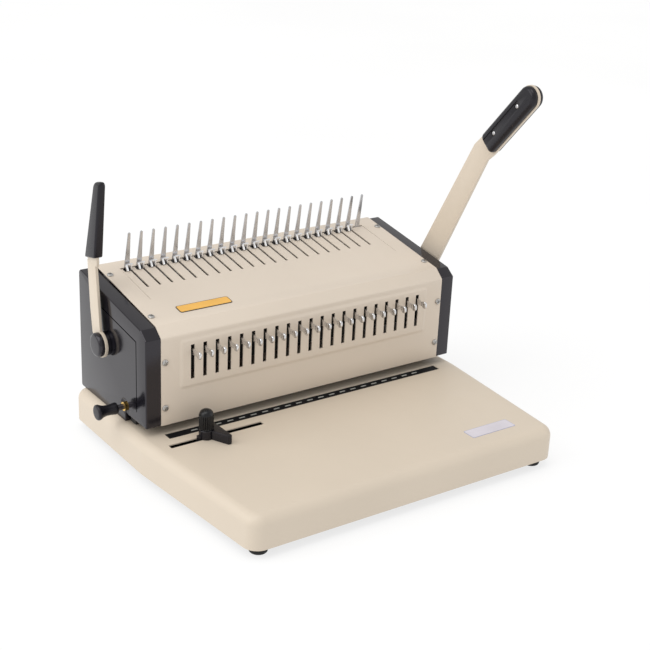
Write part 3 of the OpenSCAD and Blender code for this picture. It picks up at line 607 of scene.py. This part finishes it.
def build_panel():
    """The low embossed field round the front slots."""
    path = box_path(-PANEL_X, PANEL_Z[0], PANEL_X, PANEL_Z[1])

    def ring(y, t):
        return [(p[0], y, p[1]) for p in rounded(inset(path, t), PANEL_CORNER - t, 6)]

    rings = [ring(LAP, PANEL_RUN), ring(LAP, 0.0)]
    for k in range(1, PANEL_STEPS + 1):
        rise = 0.5 - 0.5 * math.cos(math.pi * k / PANEL_STEPS)
        rings.append(ring(-PANEL_PROUD * rise, PANEL_RUN * k / PANEL_STEPS + LAP))
    return loft("cover_panel", rings)


build_cover()

# ---------------------------------------------------------------- screws
SHANK_R = 1.9
RIM_SHARE = 0.35
CROSS_HALF, CROSS_FLOOR = 0.42, 0.45
QUARTER = [math.pi / 2 * k / 8 for k in range(1, 8)]


def screw(place, length, r=3.4, h=2.0):
    """A pan-head screw with a cross recess; the head stands up from the placed origin."""
    rim = RIM_SHARE * h
    profile = [(0, -length), (SHANK_R, -length), (SHANK_R, 0), (r, 0), (r, rim)]
    profile += [(r * math.cos(a), rim + (1 - RIM_SHARE) * h * math.sin(a)) for a in QUARTER]
    profile.append((0, h))
    head = lathe("screw", profile, place, 36)
    size = r * 0.62
    for a, b in ((size, CROSS_HALF), (CROSS_HALF, size)):
        boolean(head, solid("cross", lambda bm: add_block(bm, (-a, -b, h * CROSS_FLOOR), (a, b, h + 1), place)))
    return head


def join(name, parts):
    bm = bmesh.new()
    for p in parts:
        bm.from_mesh(p.data)
        bpy.data.objects.remove(p)
    mesh = bpy.data.meshes.new(name)
    bm.to_mesh(mesh)
    bm.free()
    obj = bpy.data.objects.new(name, mesh)
    bpy.context.scene.collection.objects.link(obj)
    return obj


def body_screws():
    """Four screws in the face and four in the top, each turned its own way, and one in each foot."""
    made = []
    for s in (-1, 1):
        for z in FACE_SCREW_Z:
            turn = Matrix.Rotation(0.4 + z, 4, "Z")
            made.append(screw(Matrix.Translation((s * SCREW_X, 0, z)) @ UPRIGHT @ turn, 6))
        for u in TOP_SCREW_U:
            turn = Matrix.Rotation(0.7 + u, 4, "Z")
            made.append(screw(TOP @ Matrix.Translation((s * SCREW_X, u, 0)) @ turn, 6))
    for x, y in FEET:
        made.append(screw(Matrix.Translation((x, y, 4)) @ Matrix.Rotation(math.pi, 4, "X"), 9.5))
    place_piece(join("housing_screws", made), "machine", "bright_steel", mat_screw, "body_screws")


body_screws()

# ---------------------------------------------------------------- end caps
CAP_PATH = [(0.7, 55), (46, 55), (46, 45), (149, 45), (149, 180.1), (11.6, 158.5), (0.7, 150.4)]
CAP_RADII = [1.2, 0, 1.2, 3, 5, 1.4, 1.4]
TO_RIGHT = Matrix.Rotation(math.pi / 2, 4, "Y")
TO_LEFT = Matrix.Rotation(-math.pi / 2, 4, "Y")
CAP_WALL, CAP_EDGE = 3.0, 1.1
GROOVE_LINE = [(20, 66), (21.5, 66), (21.5, 142.4), (97, 153), (97, 154.5), (20, 143.7)]
GROOVE_DEPTH = 0.8
BIND_HOLE, PUNCH_HOLE = 6.5, 7.5
DISH = [(0, -1), (9, -1), (9, 0), (8.4, 0.7), (6.0, 2.3), (5.1, 2.4), (5.1, 18), (0, 18)]
CAP_POSTS, POST_R, POST_X = ((30, 125), (130, 165), (130, 60)), 4, (171, CAP_X - 2.5)
CAP_HOOK = ((COVER_HALF, 33, 45.6), (190, 43.4, 56.5))


def build_cap(side):
    """An end cap of the housing, side -1 left or 1 right, and the posts inside it."""
    word = "left" if side < 0 else "right"
    cap = loft("end_cap_" + word,
               rounded_prism(CAP_PATH, CAP_RADII, side * COVER_HALF, side * CAP_X, 0.0, CAP_EDGE, 4, 8))
    hollow = inset(CAP_PATH, CAP_WALL)
    boolean(cap, solid("hollow", lambda bm: add_prism(
        bm, hollow, side * (COVER_HALF - 1), side * (CAP_X - CAP_WALL))))
    groove_x = sorted((side * (CAP_X - GROOVE_DEPTH), side * (CAP_X + 1)))
    boolean(cap, solid("groove", lambda bm: add_prism(bm, GROOVE_LINE, *groove_x)))
    hole = circle(*BIND_AXIS, BIND_HOLE) if side < 0 else circle(*PUNCH_AXIS, PUNCH_HOLE)
    through = sorted((side * (COVER_HALF - 2), side * (CAP_X + 1)))
    boolean(cap, solid("hole", lambda bm: add_prism(bm, hole, *through)))
    if side < 0:
        boolean(cap, lathe("dish", DISH, Matrix.Translation((-CAP_X, *DEPTH_AXIS)) @ TO_RIGHT, 64))

    def inside(bm):
        for y, z in CAP_POSTS:
            add_prism(bm, circle(y, z, POST_R, 32), *sorted(side * x for x in POST_X))
        (x0, y0, z0), (x1, y1, z1) = CAP_HOOK
        near, far = sorted((side * x0, side * x1))
        add_block(bm, (near, y0, z0), (far, y1, z1))

    posts = solid("cap_posts_" + word, inside)
    place_piece(cap, "machine", "black_plastic", mat_cap, word + "_cap", angle=32)
    # The posts inside the cap take the matt black painted shade of the interior.
    place_piece(posts, "machine", "black_plastic", mat_interior_shade)


build_cap(-1)
build_cap(1)

# ---------------------------------------------------------------- feet
FOOT_BORE, FOOT_WELL, FOOT_TOP = 2.2, (4.5, 3), 10.5
FOOT_RIM = [(7.6, 0), (8.3, 0.3), (8.9, 1.0), (9.5, 3.5)]


def build_feet():
    """Four screwed feet, and a plain pad in the middle at the origin of the frame."""
    well_r, well_z = FOOT_WELL
    bore = [(FOOT_BORE, well_z), (well_r, well_z), (well_r, 0)]
    shoulder = [(9.5, 9.6), (9.2, FOOT_TOP), (FOOT_BORE, FOOT_TOP), (FOOT_BORE, well_z)]
    for k, (x, y) in enumerate(FEET):
        foot = lathe(f"foot_{k + 1}", bore + FOOT_RIM + shoulder, Matrix.Translation((x, y, 0)), 48)
        place_piece(foot, "machine", "rubber", mat_rubber, *(["rubber_feet"] if k == 0 else []))
    pad = lathe("centre_pad", [(0, 0)] + FOOT_RIM + [(9.5, FOOT_TOP), (0, FOOT_TOP)], Matrix.Identity(4), 48)
    place_piece(pad, "machine", "rubber", mat_rubber)


build_feet()

# ---------------------------------------------------------------- tines and hooks
TINE_U, TINE_EDGE = (116.6, 118.1), 0.3
TINE_TIP_R, TINE_TIP_W = 1.6, 39.9
TINE_SIDE = [(3.2, -8), (3.15, 2), (2.6, 14), (TINE_TIP_R, TINE_TIP_W)]
COMB_BACK, COMB_FOOT = (157, -25, -6), (168, -45, -24)


def build_tines():
    """Tapered flat tines with round tips, one on each side of every hole, cut from one comb."""
    arc = [math.pi * k / 8 for k in range(1, 8)]
    tip = [(TINE_TIP_R * math.cos(a), TINE_TIP_W + TINE_TIP_R * math.sin(a)) for a in arc]
    u0, u1 = TINE_U

    def tine(bm):
        for i in range(HOLES + 1):
            x = hole_x(i) - 7.144
            path = [(x + a, b) for a, b in TINE_SIDE + tip] + [(x - a, b) for a, b in TINE_SIDE[::-1]]
            rings = []
            for u, t in ((u0, TINE_EDGE), (u0 + TINE_EDGE, 0.0), (u1 - TINE_EDGE, 0.0), (u1, TINE_EDGE)):
                rings.append([tuple(TOP @ Vector((p[0], u, p[1]))) for p in inset(path, t)])
            add_loft(bm, rings)
        for half, w0, w1 in (COMB_BACK, COMB_FOOT):
            add_block(bm, (-half, u0, w0), (half, u1, w1), TOP)

    place_piece(solid("tine_row", tine), "machine", "bright_steel", mat_tine, "tine_comb")


build_tines()

NECK_U0, ARM_U0, HOOK_U1 = 111.5, 112.2, 114.4
NECK_W0, ARM_W0, HOOK_W1 = -12, 5.1, 6.5
NECK_HALF, NECK_LAP = 0.7, 0.6
CLAW_X, ARM_END = (-11.5, -9.3), -2.6
CLAW = [(HOOK_U1, HOOK_W1), (ARM_U0, HOOK_W1), (110.4, 4.6), (107.9, 1.4), (109.1, 0.8), (111.6, 3.4),
        (HOOK_U1, ARM_W0)]


def build_hooks():
    """A neck through the slot, an arm to the left and a claw that points forward and down."""
    def hook(bm):
        for i in range(HOLES):
            x = hole_x(i)
            neck = x + SLOT_DX
            add_prism(bm, box_path(NECK_U0, NECK_W0, HOOK_U1, HOOK_W1), neck - NECK_HALF, neck + NECK_HALF, TOP)
            for x0, x1 in ((x + CLAW_X[0], neck - NECK_LAP), (neck + NECK_LAP, x + ARM_END)):
                add_block(bm, (x0, ARM_U0, ARM_W0), (x1, HOOK_U1, HOOK_W1), TOP)
            add_prism(bm, CLAW, x + CLAW_X[0], x + CLAW_X[1], TOP)

    obj = solid("ring_hook_row", hook)
    bevel(obj, 0.2, 2, 40)
    place_piece(obj, "hook_slider", "bright_steel", mat_hook, "ring_hooks")


build_hooks()


# ---------------------------------------------------------------- selector tabs
TAB_MID = 130.4
STEM_HALF = 0.85
STEM_ROOT, STEM_WIDE = 31, 3.8
STEM = [(-1.6, STEM_WIDE), (-4.4, 2.9), (-8, 2.5), (-12.6, 2.9)]
HEAD_HALF, HEAD_EDGE = 1.35, 0.9
HEAD_PATH = box_path(-17.5, TAB_MID - 4, -11.2, TAB_MID + 4)
HEAD_RADII = [3.1, 2.6, 2.6, 3.1]


def build_tab(i):
    """A flat stem that narrows in front of the cover, with a rounded head on its end."""
    x = hole_x(i - 1)
    stem = [(y, TAB_MID - half) for y, half in STEM] + [(y, TAB_MID + half) for y, half in STEM[::-1]]
    stem += [(STEM_ROOT, TAB_MID + STEM_WIDE), (STEM_ROOT, TAB_MID - STEM_WIDE)]
    obj = solid(f"tab_stem_{i:02d}", lambda bm: add_prism(bm, stem, x - STEM_HALF, x + STEM_HALF))
    bevel(obj, 0.3, 2, 30)
    head = loft(f"tab_head_{i:02d}", rounded_prism(
        HEAD_PATH, HEAD_RADII, x - HEAD_HALF, x + HEAD_HALF, HEAD_EDGE, HEAD_EDGE, 4, 6))
    place_piece(obj, f"tab_{i:02d}", "bright_steel", mat_bright, f"selector_tab_{i:02d}")
    place_piece(head, f"tab_{i:02d}", "bright_steel", mat_bright)


for i in range(1, HOLES + 1):
    build_tab(i)

# ---------------------------------------------------------------- springs
COIL_X, COIL_Y, COIL_Z = 154.5, 25, (63.0, 105.0)


def spring(name, x):
    """A closed-end coil as a swept wire."""
    bm = bmesh.new()
    turns, wire, r = 8.5, 0.7, 4.9
    z0, z1 = COIL_Z
    steps, sides = 340, 10
    rings = []
    for k in range(steps + 1):
        t = k / steps
        g = 2 * math.pi * turns * t
        ease = t * t * (3 - 2 * t)
        z = z0 + wire + (z1 - z0 - 2 * wire) * (0.35 * ease + 0.65 * t)
        out = Vector((math.cos(g), math.sin(g), 0))
        centre = Vector((x, COIL_Y, z))
        rings.append([tuple(centre + out * (r + wire * math.cos(b)) + Vector((0, 0, wire * math.sin(b))))
                      for b in [2 * math.pi * j / sides for j in range(sides)]])
    add_loft(bm, rings)
    return new_object(name, bm)


for s in (-1, 1):
    coil = spring("coil_left" if s < 0 else "coil_right", s * COIL_X)
    place_piece(coil, "machine", "spring_steel", mat_spring, *(["return_springs"] if s < 0 else []), angle=60)
    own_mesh(coil)

# ---------------------------------------------------------------- punch lever
def along(p, d, t):
    return (p[0] + d[0] * t, p[1] + d[1] * t)


GRIP_W = 24
BAR_W = GRIP_W + 1.6
TIP_R = BAR_W / 2 - 0.03
EYE_R, BORE_R, BOSS_R = 19, 7, 13
BOSS_H = 4.1
BAR_EDGE = 0.5
GRIP_FOOT, GRIP_TIP = (-32.8, 309.7), (-88.7, 372.8)
GRIP_DIR = unit((GRIP_TIP[0] - GRIP_FOOT[0], GRIP_TIP[1] - GRIP_FOOT[1]))
GRIP_HOLES = [along(along(GRIP_TIP, GRIP_DIR, -d), left(GRIP_DIR), -2.2) for d in (17, 64.5)]
PUNCH_LINE = [PUNCH_AXIS, (50.65, 162.35), (-21.7, 299.2), GRIP_FOOT, GRIP_TIP]
PUNCH_X = (199.5, 202.5)
HALF_T = 6.5
GRIP_FOOT_R, GRIP_END_R, GRIP_EDGE = 6, 11.9, (0.4, 4.6)
GROOVE_W, SEAT_R, SEAT_DEPTH = 7.2, 2.9, 2.5
GRIP_HEAD_R, GRIP_HEAD_H = 2.4, 1.4


def washer(r0, r1):
    return [(r0, 0), (r1, 0), (r1, BOSS_H), (r0, BOSS_H), (r0, 0)]


def build_punch_lever():
    """A flat bar with a round eye on the shaft and a round tip under the grip."""
    outline = strap(PUNCH_LINE, [34, 31, BAR_W, BAR_W, BAR_W])
    bar = solid("punch_bar", lambda bm: add_prism(bm, outline, *PUNCH_X))
    for centre, r in ((PUNCH_AXIS, EYE_R), (GRIP_TIP, TIP_R)):
        boolean(bar, solid("eye", lambda bm: add_prism(bm, circle(*centre, r, 96), *PUNCH_X)), "UNION")
    boolean(bar, solid("bore", lambda bm: add_prism(bm, circle(*PUNCH_AXIS, BORE_R), 190, 210)))
    bevel(bar, BAR_EDGE, 3, 40)
    place_piece(bar, "punch_arm", "painted_steel", mat_lever, "punch_lever")
    boss = lathe("punch_boss", washer(BORE_R, BOSS_R),
                 Matrix.Translation((CAP_X + 0.4, *PUNCH_AXIS)) @ TO_RIGHT)
    place_piece(boss, "punch_arm", "painted_steel", mat_lever)


def build_grip_half(name, x0, x1):
    """One moulded half: full round edge, a groove on the line of the screws and a seat for each head."""
    outline = strap([GRIP_FOOT, along(GRIP_TIP, GRIP_DIR, GRIP_W / 2)], [GRIP_W, GRIP_W])
    radii = [GRIP_FOOT_R, GRIP_END_R, GRIP_END_R, GRIP_FOOT_R]
    half = loft(name, rounded_prism(outline, radii, x0, x1, *GRIP_EDGE, 8, 12))
    side = 1 if x1 > x0 else -1
    a, b = along(GRIP_HOLES[1], GRIP_DIR, -30), along(GRIP_HOLES[0], GRIP_DIR, 7)
    groove = rounded(strap([a, b], [GROOVE_W, GROOVE_W]), [1, 3.4, 3.4, 1], 8)
    boolean(half, solid("groove", lambda bm: add_prism(bm, groove, *sorted((x1 - side, x1 + side)))))
    for p in GRIP_HOLES:
        seat = circle(*p, SEAT_R, 40)
        deep = sorted((x1 - side * SEAT_DEPTH, x1 + side))
        boolean(half, solid("seat", lambda bm: add_prism(bm, seat, *deep)))
    return bevel(half, 0.25, 2, 40)


def build_punch_grip():
    near, far = PUNCH_X[0] - HALF_T, PUNCH_X[1] + HALF_T
    inner = build_grip_half("punch_grip_inner", PUNCH_X[0], near)
    outer = build_grip_half("punch_grip_outer", PUNCH_X[1], far)
    place_piece(inner, "punch_arm", "black_grip", mat_grip, "punch_grip")
    place_piece(outer, "punch_arm", "black_grip", mat_grip)
    sunk = SEAT_DEPTH - 0.1
    heads = []
    for p in GRIP_HOLES:
        for x, turn in ((near + sunk, TO_LEFT), (far - sunk, TO_RIGHT)):
            heads.append(screw(Matrix.Translation((x, *p)) @ turn, 5, GRIP_HEAD_R, GRIP_HEAD_H))
    place_piece(join("grip_screw_heads", heads), "punch_arm", "bright_steel", mat_bright, "grip_screws")


build_punch_lever()
build_punch_grip()

# ---------------------------------------------------------------- ring lever
BIND_LINE = [BIND_AXIS, (94.5, 129), (97.5, 152), (102.4, 204)]
TANG_LINE = [(100.9, 202.6), (99.8, 208), (97.5, 222), (88, 270)]
BIND_X = (-202.5, -199.5)
RING_EYE_R, RING_BORE_R, RING_BOSS_R = 14, 6, 12.5
PIVOT_CAP = [(0, 0), (12.6, 0), (12.75, 0.2), (12.75, 3.4), (12.4, 4.5), (11.6, 5.4), (10.4, 5.9), (9.0, 6.0),
             (0, 6.0)]


def build_bind_lever():
    """A narrow bar that bends up from its eye, with a tang inside the grip."""
    bar = solid("ring_bar", lambda bm: add_prism(bm, strap(BIND_LINE, [18, 18, 19, 17.6]), *BIND_X))
    tang = strap(TANG_LINE, [21.5, 21.5, 12, 9])
    boolean(bar, solid("tang", lambda bm: add_prism(bm, tang, *BIND_X)), "UNION")
    boolean(bar, solid("eye", lambda bm: add_prism(bm, circle(*BIND_AXIS, RING_EYE_R, 96), *BIND_X)), "UNION")
    boolean(bar, solid("bore", lambda bm: add_prism(bm, circle(*BIND_AXIS, RING_BORE_R), -210, -190)))
    bevel(bar, BAR_EDGE, 3, 40)
    place_piece(bar, "bind_arm", "painted_steel", mat_lever, "bind_lever")
    boss = lathe("ring_boss", washer(RING_BORE_R, RING_BOSS_R),
                 Matrix.Translation((-CAP_X - 0.4, *BIND_AXIS)) @ TO_LEFT)
    place_piece(boss, "bind_arm", "black_plastic", mat_cap)
    cap = lathe("ring_pivot_cap", PIVOT_CAP, Matrix.Translation((BIND_X[0], *BIND_AXIS)) @ TO_LEFT)
    place_piece(cap, "bind_arm", "black_plastic", mat_cap, "bind_cap")


def build_bind_grip():
    """A moulded grip up a leaning line: each row is a distance, a depth, a thickness and a corner."""
    lean = math.radians(12)
    foot, top = (99.2, 208.7), (83.3, 285.5)
    mid_x = (BIND_X[0] + BIND_X[1]) / 2
    rows = [(0.0, 21.2, 8.6, 1.2), (0.7, 22.2, 9.6, 1.6), (1.6, 22.6, 10, 1.8)]
    for t in [k / 8 for k in range(1, 9)]:
        rows.append((1.6 + 76.8 * t, 22.6 - 7.8 * t, 10 - 2 * t, 1.8 + 0.9 * t))
    for a in QUARTER:
        f = math.cos(a) ** 0.6
        rows.append((78.4 + 6.4 * math.sin(a), 2.6 + 12.2 * f, 8 * f, 2.7 * f))
    d = unit((top[0] - foot[0], top[1] - foot[1]))
    rings = []
    for dist, depth, thick, r in rows:
        y, z = along(foot, d, dist)
        a, b = thick / 2, depth / 2
        section = rounded([(-a, -b), (a, -b), (a, b), (-a, b)], min(r, 0.48 * thick, 0.48 * depth), 6)
        rings.append([(mid_x + q, y + v * math.cos(lean), z - v * math.sin(lean)) for q, v in section])
    grip = loft("ring_grip", rings)
    place_piece(grip, "bind_arm", "black_grip", mat_grip, "bind_grip", angle=50)


build_bind_lever()
build_bind_grip()

# ---------------------------------------------------------------- depth knob
DIAL_FOOT = Matrix.Translation((-204.6, *DEPTH_AXIS)) @ TO_LEFT
DIAL_COLLAR = [(3, 0), (5.4, 0), (5.9, 0.3), (6.2, 0.9), (6.25, 2.6)]
DIAL_WAIST = [(5.9, 5), (5.55, 8), (5.5, 11), (5.75, 14), (6.5, 16.6), (7.6, 18.8)]
DIAL_END = [(8.15, 20), (8.2, 21.4), (7.9, 22.3), (7.2, 22.8), (4.8, 22.9), (0, 22.9)]
dial = lathe("depth_knob_body", DIAL_COLLAR + DIAL_WAIST + DIAL_END, DIAL_FOOT, 64)
place_piece(dial, "depth_dial", "black_grip", mat_grip, "depth_knob", angle=50)

# ---------------------------------------------------------------- side guide
KNOB = (-141.5, -26.6)
KNOB_R = 7.65
HUB_Z0, HUB_Z1 = 45.1, 55.0
FLUTE_Z, FLUTES, FLUTE_DEPTH = (56.6, 70.4), 20, 0.8


def build_side_guide():
    """A round hub with a bent arm, a web beside it and a shoe that slides under the base's slot."""
    x, y = KNOB
    r = KNOB_R
    side = [(0, HUB_Z0), (r - 0.6, HUB_Z0), (r, 45.6), (r, 54.4), (r - 0.5, HUB_Z1), (0, HUB_Z1)]
    hub = lathe("guide_hub", side, Matrix.Translation((x, y, 0)), 64)
    place_piece(hub, "guide_slider", "black_grip", mat_grip, "side_guide")
    plan = [(x + 2, y - 2), (x, y - 2), (-139.2, -34.8), (-130.6, -52.3), (-126.2, -51.9), (-127.3, -17.8),
            (-133, -18), (x + 2, y + 7.2)]
    arm_path = rounded(plan, [0, 0, 0.8, 0.9, 0.9, 0.8, 0.8, 0], 4)
    arm = solid("guide_arm", lambda bm: add_slab(bm, arm_path, HUB_Z0, HUB_Z1))
    place_piece(bevel(arm, 0.5, 3, 40), "guide_slider", "black_grip", mat_grip, angle=40)
    web = solid("guide_web", lambda bm: add_block(bm, (x - 10, y - 2.3, HUB_Z0), (x - 4, y + 2.3, HUB_Z0 + 4)))
    place_piece(bevel(web, 0.5, 3, 40), "guide_slider", "black_grip", mat_grip, angle=40)

    def shoe(bm):
        add_block(bm, (x - 8, y - 2, 42.8), (x + 8, y + 2, 45.2))
        add_block(bm, (x - 9, y - 6, 40.4), (x + 9, y + 6, 43.4))

    # The shoe under the slot takes the matt black painted shade of the interior.
    place_piece(solid("guide_shoe", shoe), "guide_slider", "black_grip", mat_interior_shade)


def flutes(g, h):
    """How deep the clamp knob's grooves are at angle g and height h."""
    if h < FLUTE_Z[0] or h > FLUTE_Z[1]:
        return 0.0
    return FLUTE_DEPTH * (0.5 + 0.5 * math.cos(FLUTES * g)) ** 2


def build_clamp_knob():
    r, (low, high) = KNOB_R, FLUTE_Z
    dome_r, dome_z, dome_h = 7.2, 71.6, 5.4
    profile = [(0, 55.4), (6.8, 55.4), (7.4, 55.7), (r, 56.2), (r, low), (r, low + 0.4), (r, high - 0.4),
               (r, high), (7.5, 71.4)]
    profile += [(dome_r * math.cos(a), dome_z + dome_h * math.sin(a)) for a in QUARTER]
    profile.append((0, dome_z + dome_h))
    knob = lathe("guide_knob_body", profile, Matrix.Translation((*KNOB, 0)), 192, flutes)
    place_piece(knob, "guide_clamp", "black_grip", mat_knob, "guide_knob", angle=35)


build_side_guide()
build_clamp_knob()

# ---------------------------------------------------------------- camera, lights and floor
CAM_AT = (-0.76585, -1.09075, 0.67638)
CAM_RIGHT = (0.82086, -0.56960, 0.04178)
CAM_FORWARD = (0.54052, 0.75116, -0.37895)
CAM_LENS = 75.47

cam_data = bpy.data.cameras.new("camera")
cam_data.sensor_width = 36
cam_data.lens = CAM_LENS
cam_data.clip_start, cam_data.clip_end = 0.05, 50
cam = bpy.data.objects.new("camera", cam_data)
bpy.context.scene.collection.objects.link(cam)
right = Vector(CAM_RIGHT).normalized()
back = -Vector(CAM_FORWARD).normalized()
up = back.cross(right)
rot = Matrix((right, up, back)).transposed()
cam.matrix_world = Matrix.Translation(CAM_AT) @ rot.to_4x4()
bpy.context.scene.camera = cam

bm = bmesh.new()
bmesh.ops.create_grid(bm, x_segments=2, y_segments=2, size=6000)
floor = new_object("floor", bm)
floor.location.z = -0.5 * MM
pale = Nodes("pale_floor", Specular_IOR_Level=0.1, Roughness=0.9,
             Emission_Color=grey(1), Emission_Strength=0.75)
pale.link(pale.ramp(pale.noise(1.5, 2.0), [(0.3, grey(0.23)), (0.7, grey(0.25))]),
          pale.shader.inputs["Base Color"])
floor.data.materials.append(pale.mat)


def area(name, where, target, size, watts):
    data = bpy.data.lights.new(name, "AREA")
    data.shape = "RECTANGLE"
    data.size, data.size_y = size
    data.energy = watts
    obj = bpy.data.objects.new(name, data)
    bpy.context.scene.collection.objects.link(obj)
    obj.location = where
    obj.rotation_mode = "QUATERNION"
    obj.rotation_quaternion = (Vector(target) - Vector(where)).to_track_quat("-Z", "Y")
    return obj


def sun(name, direction, strength, angle):
    data = bpy.data.lights.new(name, "SUN")
    data.energy = strength
    data.angle = math.radians(angle)
    obj = bpy.data.objects.new(name, data)
    bpy.context.scene.collection.objects.link(obj)
    obj.rotation_mode = "QUATERNION"
    obj.rotation_quaternion = Vector(direction).to_track_quat("-Z", "Y")
    return obj


area("key_left", (-2.2, 0.5, 1.5), (0, 0, 0.1), (2.4, 2.0), 26)
area("fill_right", (1.9, -1.6, 1.0), (0, 0, 0.1), (1.6, 1.6), 5)
sun("soft_key", (0.35, 0.15, -1.0), 0.75, 40)

world = bpy.data.worlds.new("studio")
bpy.context.scene.world = world
world.use_nodes = True
world.node_tree.nodes["Background"].inputs["Color"].default_value = (1.0, 0.995, 0.985, 1)
world.node_tree.nodes["Background"].inputs["Strength"].default_value = 0.72
bpy.context.scene.view_settings.view_transform = "Standard"
